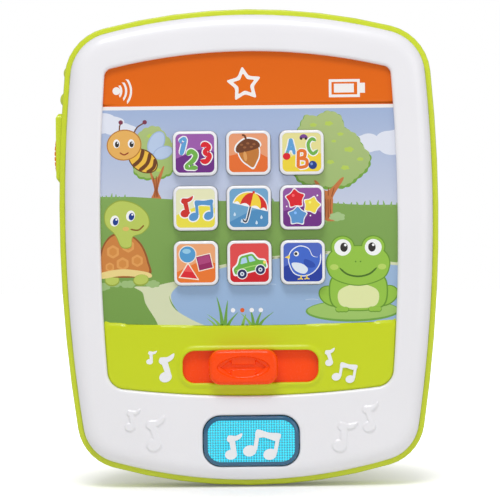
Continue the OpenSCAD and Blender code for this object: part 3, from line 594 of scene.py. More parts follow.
PANEL_ARC = 1550.0
PANEL_TOP = -35.4
slot_rings = [rounded(*SLOT, 5.4, -d, (0, SLOT_Y), 8)
    for d in (0, 0.06, 0.2, 0.45, 0.7, 1.1, 1.6, 2.1, 2.6, 3.0)]
key_centres = [((i % 3 - 1) * PITCH_X, KEYS_Y + (1 - i // 3) * PITCH_Y) for i in range(9)]
windows = [rounded(KEY + 0.5, KEY + 0.5, 3.4, 0, c, 4) for c in key_centres]


def panel_edge(x, d=0.0):
    """Height of the step up to the slider panel at x, lowered by d."""
    return PANEL_TOP - d + PANEL_ARC - math.sqrt(PANEL_ARC ** 2 - x * x)


def deck_z(xy):
    below = np.array([panel_edge(x) for x in xy[:, 0]]) - xy[:, 1]
    z = DECK + (PANEL - DECK) * (below > 0)
    z -= (below > 0) * (round_drop(below, 1.0, 0.9) + round_drop(inset(xy, screen_rings[0]) - 0.1, 0.9, 0.8))
    # the raised lip round the slot: rounded on its inner side, a long slope on its outer one
    d = -inset(xy, slot_rings[0])
    slope = 0.5 + 0.5 * np.cos(np.clip((d - 0.7) / 2.3, 0, 1) * math.pi)
    return z + 0.85 * np.where(d < 0.7, 1 - round_drop(d, 0.7, 0.6), slope) * (d > -0.1)


deck = plate("control_deck_panel", [outline(SCREEN, -3.4), slot_rings[0]] + windows, deck_z, DECK - 2, "case",
    LIME_PANEL, slot_rings[1:] + [outline(SCREEN, d) for d in (0.1, 0.2, 0.45, 0.75, 1.0)], 2.5,
    [((-68, -40, 68, -34), 0.8)], 30)
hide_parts("control_deck")
white_print("slider_panel_notes", PANEL_NOTES, PANEL, "case")

# ---------- the picture sheet

NAVY = rgb(30, 62, 140)
DARK = rgb(52, 48, 46)
GLINT = rgb(246, 246, 248)
BARK, BARK_LINE = rgb(198, 120, 70), rgb(150, 80, 44)


def blade(x, y, lean, h, w):
    return smooth([(x - w / 2, y), (x + lean * 0.35 - w * 0.35, y + h * 0.5), (x + lean, y + h),
        (x + lean * 0.35 + w * 0.45, y + h * 0.5), (x + w / 2, y)], 4)


def eye(white, pupil, glint, iris=DARK, pale=GLINT):
    """The white, the pupil and a spot of light, each given as disc() arguments."""
    return [(disc(*white), pale), (disc(*pupil), iris), (disc(*glint), GLINT)]


def rimmed(rim, colour, w, cx, cy, r, n, ry, turn):
    """A disc with a rim of width w in another colour."""
    return [(disc(cx, cy, r, n, ry, turn), rim), (disc(cx, cy, r - w, n, ry - w, turn), colour)]


def bee():
    """A plain striped bee, seen from the side."""
    amber, brown, wing, wing_rim = rgb(240, 190, 70), rgb(110, 66, 36), rgb(186, 204, 232), rgb(160, 182, 218)
    shapes = rimmed(wing_rim, wing, 0.5, -41.5, 47.5, 5.6, 28, 3.6, 62)
    shapes += rimmed(wing_rim, wing, 0.4, -38.5, 43, 4.6, 28, 2.9, 20)
    shapes += rimmed(brown, amber, 0.5, -47.5, 39.4, 7.2, 36, 5.0, -32)
    for s, h in ((-2.4, 4.1), (1.2, 4.2), (4.6, 3.2)):
        stripe = smooth([(-0.9, -h), (0.2, 0), (-0.9, h), (0.7, h), (1.8, 0), (0.7, -h)], 5)
        shapes.append((move(stripe, (-47.5 + 0.85 * s, 39.4 - 0.53 * s), 1, -32), brown))
    for s in (-1, 1):
        shapes += [(stroke([(-55 + 3 * s, 51), (-54 + 4 * s, 54.5), (-52 + 5.4 * s, 56.6)], 0.6), brown),
            (disc(-52 + 5.4 * s, 56.8, 1.0), rgb(128, 58, 80))]
    shapes += rimmed(rgb(186, 124, 52), rgb(232, 178, 96), 0.5, -56, 46.6, 7.9, 40, 7.0, 8)
    for x in (-59.4, -52.8):
        shapes += eye((x, 47.2, 1.5, 20, 2.0), (x + 0.2, 46.9, 0.95, 20, 1.35), (x + 0.5, 47.5, 0.35, 12))
    return shapes + [(stroke([(-58, 43.2), (-56, 42.2), (-54, 43.2)], 0.6), rgb(150, 60, 40))]


def tortoise():
    """A plain tortoise with a plated shell, looking to the right."""
    skin, edge = rgb(188, 204, 96), rgb(150, 168, 66)
    shapes = [(disc(-62, -14.5, 3.4, 24, 2.6), edge), (disc(-62, -14.2, 3.0, 24, 2.2), skin),
        (smooth([(-66.5, -12), (-67.2, -2), (-63, 5.5), (-56, 7.2), (-49, 2.5), (-45.4, -6),
            (-46, -12.5)], 7), rgb(150, 88, 44)),
        (smooth([(-65.8, -11.6), (-66.4, -2), (-62.7, 4.7), (-56, 6.4), (-49.6, 2), (-46.3, -6),
            (-47, -11.8)], 7), rgb(206, 132, 66))]
    for x, y, r in ((-61.5, -1.5, 3.1), (-54.6, 1, 3.0), (-50.6, -5.6, 2.9), (-57.2, -7, 3.1),
            (-63, -8.4, 2.2)):
        shapes += [(soften(star(x, y, r, 0.866, 30, 6), 0.5), rgb(226, 160, 88)),
            (soften(star(x, y, r * 0.62, 0.866, 30, 6), 0.4), rgb(214, 142, 70))]
    head = smooth([(-60.5, 6), (-65, 11), (-64.6, 17.5), (-59, 21.6), (-51.5, 20.4), (-46, 16), (-44.8, 10.6),
        (-48, 6.8), (-52.5, 5), (-53.4, 0.5), (-57.6, 0.4)], 7)
    shapes += [(smooth([(-67, -11), (-57, -9.4), (-45.6, -11), (-45.2, -13.4), (-57, -12.4), (-67, -13.6)],
        6), rgb(236, 214, 140)),
        (disc(-49, -14.4, 3.6, 24, 2.6, 8), edge), (disc(-49, -14.1, 3.2, 24, 2.2, 8), skin),
        (head, edge), (scaled(head, -55.5, 11, 0.955, 0.955), skin)]
    for x, y in ((-53.4, 14.6), (-60.6, 12.4)):
        shapes += eye((x, y, 2.0, 24, 2.5, -12), (x + 0.4, y - 0.3, 1.25, 24, 1.7, -12),
            (x + 0.8, y + 0.6, 0.45, 12), NAVY, rgb(246, 246, 244))
    return shapes + [(stroke([(-53.5, 8.6), (-50, 8.2), (-47.4, 10.4)], 0.7), rgb(140, 96, 44)),
        (disc(-55.6, 8.8, 1.5, 20, 1.0), rgb(224, 188, 104))]


def frog():
    """A plain frog seen from the front, sitting on a lily pad."""
    skin, edge, pale = rgb(150, 196, 72), rgb(104, 150, 50), rgb(226, 232, 170)
    x = 49
    shapes = [(disc(46.3, -29.2, 21.2, 48, 4.9), rgb(112, 162, 70)),
        (disc(46.3, -28.9, 20.4, 48, 4.2), rgb(160, 198, 104))]
    for s in (-1, 1):
        shapes += [(disc(x + 12.2 * s, -22.5, 6.2, 30, 4.4, 28 * s), edge),
            (disc(x + 12.2 * s, -22.4, 5.6, 30, 3.9, 28 * s), skin)]
    body = smooth([(38, -27.5), (35.6, -20), (38, -13), (x, -10), (60, -13), (62.4, -20), (60, -27.5),
        (x, -29.4)], 7)
    shapes += [(body, edge), (scaled(body, x, -20, 0.95, 0.95), skin),
        (smooth([(41, -26.6), (40.4, -20), (x, -17), (57.6, -20), (57, -26.6), (x, -28)], 7), pale)]
    head = smooth([(34.6, -9.4), (35.4, -4), (40, -0.4), (x, 0.4), (58, -0.4), (62.6, -4), (63.4, -9.4),
        (60, -15), (x, -18), (38, -15)], 7)
    shapes += [(disc(x + 6.9 * s, -0.4, 5.5, 36, 5.2), edge) for s in (-1, 1)]
    shapes += [(head, edge), (scaled(head, x, -8.6, 0.962, 0.95), skin)]
    for s in (-1, 1):
        shapes.append((disc(x + 6.9 * s, -0.4, 5.0, 36, 4.7), skin))
        shapes += eye((x + 6.9 * s, -0.6, 3.8, 32, 3.7), (x + 6.3 * s, -0.5, 1.7, 24, 2.1),
            (x + 6.3 * s + 0.6, 0.5, 0.6, 14), pale=rgb(246, 247, 246))
        shapes += [(disc(x + 10.8 * s, -9.4, 1.9, 24, 1.3), rgb(186, 214, 104)),
            (disc(x + 1.1 * s, -7, 0.4, 12), edge)]
    shapes.append((stroke([(40.6, -9.8), (44, -12.6), (x, -13.7), (54, -12.6), (57.4, -9.8)], 0.8),
        rgb(74, 112, 40)))
    for s in (-1, 1):
        for y, r, ry, colour in ((-28.6, 1.6, 1.3, edge), (-28.4, 1.35, 1.05, skin)):
            shapes += [(disc(x + 7.4 * s + toe, y, r, 20, ry), colour) for toe in (-1.5, 0, 1.5)]
    return shapes


def leafy(points, depth=0.55, pitch=3.4):
    """Rounded outline through the points, with small scallops along it."""
    loop = np.array(smooth(points, 12))
    along = np.cumsum(np.linalg.norm(np.diff(loop, axis=0, append=loop[:1]), axis=1))
    count = round(along[-1] / pitch)
    swell = depth * np.abs(np.sin(math.pi * count * along / along[-1]))
    out = loop - loop.mean(0)
    return [tuple(p) for p in loop + out / np.linalg.norm(out, axis=1)[:, None] * swell[:, None]]


def tree(foliage, lobes, trunk, leaf):
    """Leafy crown with lighter patches, and a trunk whose two limbs run up in front of it."""
    x, y, top, w = trunk
    cx, cy = np.mean(foliage, 0)
    shade = [(px, py - 0.6) for px, py in scaled(foliage, cx, cy, 1.035, 1.035)]
    shapes = [(leafy(shade), rgb(118, 164, 66)), (leafy(foliage), leaf, rgb(176, 194, 128))]
    shapes += [(blob(px - r, py - r * 0.55, px + r, py + r * 0.55, 5, px, 0.25), rgb(184, 208, 92))
        for px, py, r in lobes]
    wood = [(-1.3, y), (-0.7, y + 3), (-0.6, top - 4), (-1.9, top + 3.4), (-1.5, top + 3.8),
        (-0.1, top - 0.6), (1.9, top + 5), (2.3, top + 4.4), (0.7, top - 4), (0.7, y + 3), (1.4, y)]
    shapes.append((smooth([(x + w * k, level) for k, level in wood], 5), BARK))
    return shapes + [(stroke([(x + w * k * 1.3, y + 0.8), (x + w * k * 0.8, (y + top) / 2),
        (x + w * k * 2.4, top + 1)], 0.45), BARK_LINE) for k in (-0.35, 0.05, 0.4)]


def scenery():
    cloud, bank = rgb(226, 230, 242), rgb(214, 220, 182)
    shapes = [(box_loop(-72, 12, 72, 66), rgb(204, 210, 228), rgb(160, 180, 216))]
    shapes += [(blob(*box), cloud) for box in ((-78, 51.6, -55, 61, 6, 0.4), (-66, 50.8, -50, 56.6, 5, 1.1),
        (46, 42, 62, 50.6, 6, 0.2), (56, 40.6, 76, 52.6, 6, 1.0))]
    shapes += tree([(-49.6, 50.4), (-46.8, 53.6), (-41, 54.6), (-36.8, 50.2), (-33.5, 45), (-33, 38),
        (-36.4, 33.6), (-42, 32.2), (-48, 32.4), (-51.4, 36), (-50.4, 45)],
        [(-44, 50.6, 1.8), (-38.4, 43.6, 1.6), (-40.6, 35.2, 1.5)], (-41.8, 22, 31.5, 1.6),
        rgb(162, 190, 108))
    shapes += tree([(24, 55), (26.4, 59), (31, 58.6), (36, 60.8), (41.6, 58.6), (43.6, 53.4), (48.6, 50),
        (51.4, 45), (54.4, 41.2), (53.2, 35.6), (49, 31.6), (44, 28), (36, 27.2), (28, 28.4), (22, 32),
        (20, 42), (22, 50)], [(29.4, 54.8, 1.7), (36.4, 55.4, 2), (41.6, 50.6, 1.5), (45.4, 43.6, 2.3),
        (38.6, 47.4, 1.2), (50.4, 39.2, 1.6), (37, 38, 1.8), (43.6, 35.4, 2)], (35.6, 11.6, 25.6, 3.1),
        rgb(162, 188, 118))
    meadow = [(-72, 23.4), (-52, 23.2), (-36, 22), (-14, 21), (8, 20.6), (30, 20), (50, 18.6), (72, 18.4),
        (72, -40), (-72, -40)]
    shapes.append((meadow, rgb(116, 156, 72), rgb(132, 168, 90)))
    for x in [*range(-68, -54, 2), *range(-34, 18, 5), *range(40, 68, 3)]:
        level = 23.2 - max(0, x + 52) * 0.04
        shapes.append((blade(x, level - 0.8, 0.5 * math.sin(x), 2.0 + 0.7 * math.sin(2.3 * x), 0.9),
            rgb(134, 176, 94)))
    # the trunk of the tree on the right stands in front of the grass
    foot = [(31.4, 11.8), (33.4, 15), (33.7, 22), (37.8, 22), (37.8, 15), (40, 11.6)]
    shapes.append((smooth(foot, 5), BARK))
    shapes += [(stroke([(35.6 + 4 * k, 12.6), (35.6 + 2.6 * k, 17), (35.6 + 2.8 * k, 21.4)], 0.45), BARK_LINE)
        for k in (-0.35, 0.05, 0.4)]
    shapes += [(blob(36, 11.2, 43.6, 15.4, 6, 0.3, 0.2), rgb(166, 196, 136)),
        (blob(30.6, 9.6, 35.4, 12.4, 5, 0.9, 0.2), rgb(150, 186, 116))]
    pond = [(-35.6, -22.4), (-32, -17), (-24, -13), (-12.8, -9.4), (0, -7), (12, -5.4), (32, -3.6),
        (50, -4.4), (64, -8.6), (74, -12), (74, -44), (20, -44), (-12, -42), (-30, -31)]
    path = [(-52, -17.4), (-44, -17.2), (-36, -15.6), (-30, -14.8), (-35.4, -19), (-36.2, -23), (-33.4, -28),
        (-26, -32.6), (-17, -37.5), (-30, -40), (-39, -38), (-43, -31.6), (-47, -25), (-48.4, -20)]
    shapes += [(smooth([(x - (0.8 if x < 0 else 0), y + 1.3) for x, y in pond], 5), bank),
        (smooth(pond, 5), rgb(146, 178, 218), rgb(160, 186, 216)), (smooth(path, 5), bank)]
    for x, y, w in ((-66, -17, 5), (-61, -15.6, 5), (-55, -16, 5.6), (-49, -15, 5), (-43.6, -16, 4.6)):
        shapes.append((blob(x - w / 2 - 1, y - 2, x + w / 2 + 1, y + 1.6, 6, x, 0.2), rgb(158, 190, 124)))
    for x, y, s in ((-16, -8, 0.8), (9, -17, 1), (22, -12.4, 0.8), (28, -24, 1)):
        shapes.append((stroke([(x - 3 * s, y), (x, y + 0.3), (x + 3 * s, y)], 0.35), rgb(184, 204, 228)))
    return shapes


def foreground():
    """Grass tufts and the four page dots above the slider panel."""
    leaf, deep = rgb(134, 184, 82), rgb(108, 162, 66)
    tufts = ((-13, -6.4, 5.4), (-12.4, -2.6, 13.4), (-11.4, 1.4, 11.6), (-10.6, 5.4, 6.2), (-15, -4.6, 3.6),
        (1, -5.2, 5.6), (1.6, -1.4, 7.6), (2.6, 2.8, 6.8), (3.4, 7.4, 6.2), (-3.6, 1.8, 5.4))
    white = rgb(244, 244, 246)
    dots = ((-7.65, white), (-3.45, rgb(226, 96, 40)), (0.8, white), (4.9, white))
    return [(blade(x, -36.6, lean, h + 1.2, 1.5), deep if h > 6 else leaf) for x, lean, h in tufts] + [
        (disc(x, -28.4, 1.0, 20), colour) for x, colour in dots]


def status_bar():
    """The orange bar with a sound sign, an outlined star and a battery sign."""
    white, orange = rgb(244, 240, 238), rgb(230, 106, 8)
    shapes = [(box_loop(-72, 62.3, 72, 63.9), white), (box_loop(-72, 63.9, 72, 96), orange, rgb(222, 98, 4)),
        (disc(-59.2, 71, 1.75, 24), white)]
    shapes += [(arc(-61, 71, r + 0.475, -42, 42, 12) + arc(-61, 71, r - 0.475, 42, -42, 12), white)
        for r in (4.0, 6.2, 8.4)]
    return shapes + [(box_loop(36.6, 67.2, 50.6, 75.3), white), (box_loop(37.8, 68.4, 49.4, 74.1), orange),
        (box_loop(38.9, 69.3, 47.9, 73.3), white), (box_loop(50.6, 69.1, 52.9, 73.6), white),
        (soften(star(-1.6, 73.4, 8.4, 0.52, 96), 1.2), white),
        (soften(star(-1.6, 73.4, 5.2, 0.52, 96), 0.8), orange)]


sheet_outline = [p for p in outline(SCREEN, -1.2) if p[1] > panel_edge(p[0], -0.4)]
sheet_outline += [(x, panel_edge(x, -0.2)) for x in np.linspace(-67.6, 67.6, 60)]
sheet_art = scenery() + tortoise() + bee() + frog() + foreground() + status_bar()
sheet = printed("screen_print", [sheet_outline] + windows, sheet_art, SHEET, DECK + 0.02, "case",
    INK)
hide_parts("screen_sheet")

# ---------- keys and their labels

PRINT = KEY - 2.6
LINE = rgb(246, 246, 246)
RED, BLUE, GREEN, YELLOW = rgb(222, 34, 46), rgb(96, 162, 216), rgb(112, 178, 74), rgb(248, 214, 84)


def painted_highlight_background(top, low, level=1.0, tilt=0.0):
    """Glossy key background with a painted highlight: a lighter upper part over a darker lower one with a
    curved edge.
    """
    curve = smooth([(-9, level - 3 - tilt), (-4, level - 1.4 - tilt / 2), (1, level),
        (5, level - 0.4 + tilt / 2), (9, level - 2 + tilt)], 6, False)
    return [(box_loop(-9, -9, 9, 9), top), (curve + [(9, -9), (-9, -9)], low)]


def outlined(parts, colour, w):
    """Strokes with a wider white stroke under them."""
    return [(stroke(p, w + 1), LINE) for p in parts] + [(stroke(p, w), colour) for p in parts]


def art_numbers():
    one = [(-6.9, 4.9), (-4.6, 6.2), (-6.2, -0.8)]
    two = [(-3.6, -0.8), (-1.8, 0.9), (0.2, -0.6), (-0.6, -3), (-3.7, -6), (-1.2, -6.4), (1.2, -6.6)]
    three = [(2.8, 3), (4.6, 4), (6.2, 2.6), (4.6, 0.4), (6.5, -1.2), (5, -3.7), (2.5, -3.2)]
    return (painted_highlight_background(rgb(158, 92, 172), rgb(110, 44, 132), 1.4, 1)
        + outlined([one], BLUE, 2.1) + outlined([two], GREEN, 2.1) + outlined([three], RED, 2.3))


def art_acorn():
    brown = rgb(112, 62, 34)
    nut = smooth([(-3.9, 1.6), (-4, -2.4), (-1.8, -5.6), (0, -7.2), (1.8, -5.6), (4, -2.4), (3.9, 1.6)], 5)
    cap = smooth([(-5.2, 1), (-4.6, 4), (0, 6), (4.6, 4), (5.2, 1), (0, 0.4)], 6)
    shapes = painted_highlight_background(rgb(236, 158, 116), rgb(232, 112, 48), 0.6, -1)
    shapes += [(move(loop, (0.3, 0.4), k, 14), colour) for loop, k, colour in (
        (nut, 1.12, LINE), (cap, 1.12, LINE), (nut, 1, rgb(196, 122, 54)), (cap, 1, brown))]
    shapes.append((stroke([(-1.0, 6), (-1.6, 7.6), (-2.8, 8)], 0.9), brown))
    shapes += [(disc(x - 0.2, y + 0.2, 0.75, 16, 0.5), rgb(150, 92, 52))
        for x, y in ((-2.8, 3.4), (0, 4), (2.8, 3.6), (-1.4, 2.2), (1.6, 2.4))]
    return shapes + [(disc(-1.4, -1.6, 0.8, 20, 2.2, 8), rgb(224, 160, 92))]


def art_letters():
    shapes = painted_highlight_background(rgb(232, 224, 150), rgb(240, 214, 62), 0.2, 1)
    shapes += outlined([[(-6.8, -1), (-5.6, 2.6), (-4.9, 6.2)], [(-4.9, 6.2), (-4, 2.6), (-3.2, -1)],
        [(-5.9, 1.6), (-3.9, 1.6)]], BLUE, 1.5)
    shapes += outlined([[(7.2, 1), (5.2, -0.7), (3.4, 1), (3, 4), (4.6, 5.9), (6.4, 5)]], GREEN, 1.5)
    shapes += outlined([[(-1.7, -7), (-1.5, 0.8)], [(-1.5, 0.7), (1.2, 0.4), (1.2, -2), (-1.2, -2.8)],
        [(-1.2, -2.8), (2, -3.4), (1.9, -6.2), (-1.7, -6.9)]], rgb(232, 118, 44), 1.5)
    return shapes + [(disc(-6.8, -1.8, 1.7, 22, 1.6), RED), (stroke([(-6.8, -0.4), (-6.4, 0.5)], 0.5), GREEN),
        (disc(4.9, -5.8, 1.9, 26), NAVY), (disc(4.4, -5.3, 0.6, 16), rgb(120, 150, 214)),
        (arc(0.9, 6.2, 1.9, 0, 180, 14) + [(-1, 6.2)], rgb(120, 66, 146)),
        (disc(-0.2, 6.1, 0.6, 14), DARK), (disc(1.9, 6.1, 0.6, 14), DARK)]


def note_art(shape, at, k, turn, colour):
    """A note with a white line round it."""
    loops = note_loops(shape, at, k, turn)
    wide = []
    for loop in loops:
        out = np.array(loop) - np.mean(loop, 0)
        wide.append((np.array(loop) + 0.55 * out / np.hypot(*out.T)[:, None], LINE))
    return wide + [(loop, colour) for loop in loops]


def art_music():
    return (painted_highlight_background(rgb(232, 232, 190), rgb(236, 224, 72), 0.8, 1)
        + note_art(QUAVER, (-6.9, -3.9), 9.8, -4, rgb(206, 48, 42))
        + note_art(PAIR, (-2.2, -7.4), 10, 14, rgb(88, 150, 206)))


def art_umbrella():
    reach, height, sag = 7.6, 6.4, 1.1
    handle = [(0, 5), (0, -5.6), (-0.9, -7), (-2, -6.2)]
    ribs = np.radians([-90, -38, 0, 38, 90])

    def panel(a, b):
        """The cloth between the ribs at a and b."""
        a, b = reach * math.sin(a), reach * math.sin(b)
        left = [(a * math.cos(t), height * math.sin(t)) for t in np.linspace(0, math.pi / 2, 9)]
        right = [(b * math.cos(t), height * math.sin(t)) for t in np.linspace(math.pi / 2, 0, 9)[1:]]
        return left + right + [(a * k + b * (1 - k), sag * math.sin(math.pi * k))
            for k in np.linspace(0, 1, 6)[1:-1]]

    parts = [([(8.1 * math.cos(t), -0.2 + 7.1 * math.sin(t)) for t in np.linspace(0, math.pi, 24)], LINE),
        (stroke(handle, 1.5), LINE), (stroke(handle, 0.75), rgb(60, 66, 84))]
    parts += [(panel(a, b), rgb(216, 44, 36) if i % 2 else rgb(246, 212, 62))
        for i, (a, b) in enumerate(zip(ribs, ribs[1:]))]
    parts.append((disc(0, 6.7, 0.6, 14), rgb(216, 44, 36)))
    drops = [(smooth([(x, y + 1.2), (x - 0.55, y), (x, y - 0.5), (x + 0.55, y)], 4), rgb(206, 226, 242))
        for x, y in ((-6.4, -3.2), (5.6, -4.6), (3.4, -7), (-3.2, -6.2))]
    return (painted_highlight_background(rgb(112, 166, 206), rgb(78, 142, 192), -1.5, 2)
        + [(move(loop, (0.6, 0.4), 1, -14), colour) for loop, colour in parts] + drops)


def art_stars():
    shapes = painted_highlight_background(rgb(146, 84, 160), rgb(112, 46, 132), 0.2, -1)
    for x, y, r, colour, turn in ((-3.1, 3.9, 4.7, RED, 96), (4.3, 0.9, 4.2, rgb(244, 220, 74), 74),
            (-2.2, -3.9, 4.6, rgb(92, 150, 208), 88)):
        shapes += [(soften(star(x, y, r + 0.6, 0.62, turn), 1.3), LINE),
            (soften(star(x, y, r, 0.62, turn), 1.2), colour),
            (disc(x - r * 0.2, y + r * 0.3, r * 0.14, 14), [min(1, k * 1.4 + 0.1) for k in colour])]
    return shapes + [(disc(x, y, r, 12), LINE)
        for x, y, r in ((1.4, -1.6, 0.4), (3.6, -3.8, 0.35), (-7, 0.4, 0.35), (6.8, 5.2, 0.4))]


def art_shapes():
    pale = rgb(250, 236, 220)

    def tilted(*box):
        return move(box_loop(*box), (3.8, 0.4), 1, 13)

    return painted_highlight_background(rgb(238, 166, 116), rgb(236, 120, 44), 0.4, 1.5) + [
        (disc(-3.8, 4, 4.0, 36), pale), (disc(-3.8, 4, 3.6, 36), rgb(82, 156, 208)),
        (disc(-4.2, 5.4, 1.9, 24, 1.1), rgb(150, 204, 232)),
        (tilted(-3.5, -3.5, 3.5, 3.5), pale), (tilted(-3.1, -3.1, 3.1, 3.1), rgb(152, 34, 96)),
        (tilted(-2.7, -0.6, 2.7, 2.7), rgb(176, 66, 122)),
        (soften([(-3.6, 0.6), (-8, -6.5), (1.4, -7.6)], 0.3), pale),
        ([(-3.6, -0.4), (-7.2, -6.1), (0.6, -7)], RED),
        ([(-3.6, -0.4), (-5.6, -3.6), (-1.5, -4)], rgb(240, 86, 86))]


def art_car():
    glass, tyre = rgb(176, 212, 238), rgb(34, 40, 92)
    parts = [(soften([(-7.9, -3), (-8, 1.1), (-5.4, 2.2), (-3.6, 5.9), (3, 6.1), (4.8, 2.4), (7.8, 1.8),
        (8.2, -2.8)], 1.3), LINE),
        (soften([(-7.2, -2.4), (-7.4, 0.6), (-5, 1.6), (-3.2, 5.2), (2.6, 5.4), (4.4, 1.8), (7.2, 1.2),
        (7.6, -2.2)], 1.2), rgb(106, 178, 66)),
        (soften([(-3.8, 1.8), (-2.6, 4.3), (-0.5, 4.4), (-0.5, 1.8)], 0.4), glass),
        (soften([(0.4, 1.8), (0.4, 4.4), (2.1, 4.4), (3.3, 1.8)], 0.4), glass),
        (stroke([(-6.6, -0.6), (0, -0.2), (7, -0.6)], 0.5), rgb(166, 212, 110)),
        (disc(7, 0.2, 0.7, 16), rgb(248, 222, 100))]
    for x in (-4, 4.4):
        parts += [(disc(x, -2.6, r, n), colour) for r, n, colour in (
            (2.4, 26, LINE), (2.05, 26, tyre), (0.95, 18, rgb(220, 228, 240)), (0.4, 12, tyre))]
    return (painted_highlight_background(rgb(226, 74, 74), rgb(208, 22, 34), 1.4, 1)
        + [(move(loop, (0, -1.6), 1, 13), colour) for loop, colour in parts])


def art_bird():
    body = smooth([(-6.2, 0.6), (-5.2, 4.6), (-1.6, 7), (2.4, 6), (4.2, 2.8), (6.8, 2.2), (7.6, 3.6),
        (7.4, -0.6), (4.6, -4.4), (0.4, -6), (-4, -4.6)], 6)
    legs = ([(-0.8, -5.8), (-1, -7.6)], [(1.6, -5.6), (1.8, -7.5)], [(-2.4, -7.7), (-1, -7.4), (0, -7.7)],
        [(0.6, -7.6), (1.8, -7.3), (2.9, -7.6)])
    return painted_highlight_background(rgb(78, 104, 196), rgb(34, 60, 160), 1.8, 1) + [
        (scaled(body, 0.3, 0.4, 1.07, 1.07), rgb(236, 240, 250)), (body, rgb(64, 104, 204)),
        (smooth([(-5, -0.4), (-3.4, -3.8), (0.6, -5.2), (2.2, -3), (-0.6, -0.6)], 6), rgb(226, 234, 244)),
        (smooth([(1, 1.4), (4.8, -0.2), (5.4, -2.2), (2.4, -2.4), (0.4, -0.6)], 6), rgb(44, 78, 176)),
        ([(-5.8, 3.4), (-8.2, 2.2), (-5.9, 1.5)], YELLOW), (disc(-2.9, 3.8, 1.15, 22), LINE),
        (disc(-3.1, 3.8, 0.7, 18), DARK), *[(stroke(leg, 0.55), YELLOW) for leg in legs]]


ARTS = [art_numbers, art_acorn, art_letters, art_music, art_umbrella,
    art_stars, art_shapes, art_car, art_bird]


def build_key(name, at, art):
    rings = [rounded(KEY, KEY, 3.2, d, at, 8) for d in (0, 0.04, 0.15, 0.35, 0.6, 0.9)]
    body = "button_" + name

    def top(xy):
        return KEY_TOP - round_drop(inset(xy, rings[0]), 0.9, 0.9)

    cap = plate("key_" + name + "_cap", [rings[0], rounded(PRINT, PRINT, 2.2, 0, at, 8)], top, KEY_FOOT + 0.2,
        body, KEY_WHITE, rings[1:], 30, smooth_to=50)
    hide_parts("key_" + name)
    label = printed("label_" + name + "_print", [rounded(PRINT - 0.04, PRINT - 0.04, 2.2, 0, at, 8)],
        [(move(loop, at), *colours) for loop, *colours in art()], KEY_TOP - 0.05, KEY_FOOT + 2, body,
        GLOSS_INK)
    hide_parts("label_" + name)


for key_parts in zip(KEY_NAMES, key_centres, ARTS):
    build_key(*key_parts)

# ---------- music slider's knob

knob_rings = [rounded(*KNOB, 5.2, d, (SLIDER_X, SLOT_Y), 10, 0.25)
    for d in (0, 0.05, 0.2, 0.5, 0.9, 1.5, 2.2)]
dish = smooth(move([(-11.9, 0), (-8.4, 3.4), (0, 5.2), (8.4, 3.4), (11.9, 0), (8.4, -3.4), (0, -5.2),
    (-8.4, -3.4)], (SLIDER_X, SLOT_Y)), 8)


def arrow(d):
    """Outline of the double arrow, d outside its edge."""
    tip, bx = 10.2 + 1.75 * d, 5.4 - d
    by = (tip - bx) * 0.7
    quarter = [(-tip, 0), (-bx, by), (-bx, 1.25 + d)]
    half = quarter + [(-x, y) for x, y in quarter[:0:-1]]
    return [(SLIDER_X + x, SLOT_Y + y) for x, y in half + [(-x, -y) for x, y in half]]


def knob_z(xy):
    z = KNOB_TOP - round_drop(inset(xy, knob_rings[0]), 2.2, 2.2)
    d = inset(xy, dish)
    z -= (0.5 + 1.4 * np.sqrt(np.clip(d / 5.2, 0, 1))) * step(d - 0.2, 0.5)
    return z - 0.95 * step(inset(xy, arrow(0)), 0.3)


knob = plate("slider_knob_cap", [knob_rings[0]], knob_z, SLOT_LIP + 0.4, "slider", ORANGE,
    knob_rings[1:] + [dish, arrow(0.15), arrow(-0.15)], 2.0,
    [((SLIDER_X - 12.2, SLOT_Y - 5.6, SLIDER_X + 12.2, SLOT_Y + 5.6), 0.3)], 50)
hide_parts("slider_knob")

# ---------- light button

PRISM = 1.15
LENS_EDGE = (1.9, 1.4)
lens_rings = [rounded(*LENS, 7.8, d, (0, LIGHT_Y), 10) for d in (0, 0.06, 0.25, 0.6, 1.0, 1.4, LENS_EDGE[0])]
face_rim = lens_rings[-1]


def lens_z(xy):
    z = LENS_TOP - round_drop(inset(xy, lens_rings[0]), *LENS_EDGE)
    u, v = [np.abs((along / PRISM) % 1 - 0.5) * 2 for along in (xy[:, 0], xy[:, 1] - LIGHT_Y)]
    return z + np.where(inset(xy, face_rim) > 0.25, 0.3 * (np.minimum(u, v) - 0.6), 0)


prisms = (-PRISM * 19, LIGHT_Y - PRISM * 10, PRISM * 19, LIGHT_Y + PRISM * 10)
lens = plate("light_lens_shell", [lens_rings[0]], lens_z, CROWN - 2, "light_button", CYAN,
    lens_rings[1:], 4.0, [(prisms, PRISM / 4)], 12)
# the lens's rounded edge gets the darker copy of its colour, painted shade
lens.data.materials.append(CYAN_SHADED_EDGE)
face_middles = np.array([poly.center for poly in lens.data.polygons])[:, ::2] * 1000
lens.data.polygons.foreach_set("material_index", (inset(face_middles, face_rim) < 0.05).astype(int))
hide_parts("light_lens")
white_print("light_lens_notes", LENS_NOTES, LENS_TOP + 0.1, "light_button")

# ---------- floor, light and camera

FLOOR_Z = -0.1085
floor_mat, shader, add, join = new_material("studio_floor")
adjust(shader, Base_Color=(0.94, 0.94, 0.94, 1), Roughness=0.9, Emission_Color=(1, 1, 1, 1))
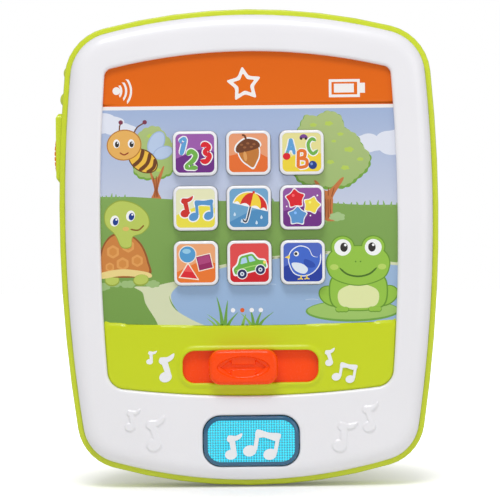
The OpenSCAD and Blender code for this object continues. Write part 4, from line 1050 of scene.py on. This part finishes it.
# the floor fades to pure white for the camera away from the toy
where = add("TexCoord")
away = add("VectorMath", operation="LENGTH")
fade = add("MapRange", interpolation_type="SMOOTHSTEP", From_Min=0.11, From_Max=0.18, To_Min=0.1, To_Max=1.0)
seen = add("LightPath")
glow = add("Math", operation="MULTIPLY")
join(where, "Object", away, 0)
join(away, "Value", fade, "Value")
join(fade, "Result", glow, 1)
join(seen, "Is Camera Ray", glow, 0)
join(glow, "Value", shader, "Emission Strength")
floor_mesh = bpy.data.meshes.new("floor")
floor_mesh.from_pydata([(x, y, FLOOR_Z) for x, y in box_loop(-4, -4, 4, 4)], [], [(0, 1, 2, 3)])
floor_mesh.materials.append(floor_mat)
floor = add_object("floor", floor_mesh)

# a white studio: the camera sees pure white behind the toy, the toy is lit a little less strongly
world = bpy.data.worlds.new("studio")
world.use_nodes = True
add, join = wiring(world.node_tree)
background = world.node_tree.nodes["Background"]
rays = add("LightPath")
strength = add("MapRange", To_Min=0.47, To_Max=1.0)
join(rays, "Is Camera Ray", strength, "Value")
join(strength, "Result", background, "Strength")
adjust(background, Color=(1, 1, 1, 1))
bpy.context.scene.world = world
bpy.context.scene.view_settings.view_transform = "Standard"


def area_light(name, at, size, power):
    """A rectangular light aimed at the middle of the toy."""
    data = bpy.data.lights.new(name, "AREA")
    data.shape = "RECTANGLE"
    data.size, data.size_y = size
    data.energy = power
    obj = add_object(name, data)
    obj.location = at
    obj.rotation_euler = (-Vector(at)).to_track_quat("-Z", "Y").to_euler()


area_light("key_light", (-0.12, -0.62, 0.95), (0.6, 0.35), 6.3)
area_light("fill_light", (0.9, -0.9, 0.2), (0.8, 0.8), 2.0)

# the picture is VIEW_WIDTH wide at the plane of the rim, RIM_Y in front of the toy's back
VIEW_WIDTH = 0.2264
RIM_Y = -0.022
cam_data = bpy.data.cameras.new("camera")
cam_data.lens = 140
cam_data.sensor_width = 36
cam = add_object("camera", cam_data)
cam.location = (0.0003, RIM_Y - VIEW_WIDTH * cam_data.lens / cam_data.sensor_width, -0.0013)
cam.rotation_euler = (math.radians(90), math.radians(0.6), 0)
bpy.context.scene.camera = cam
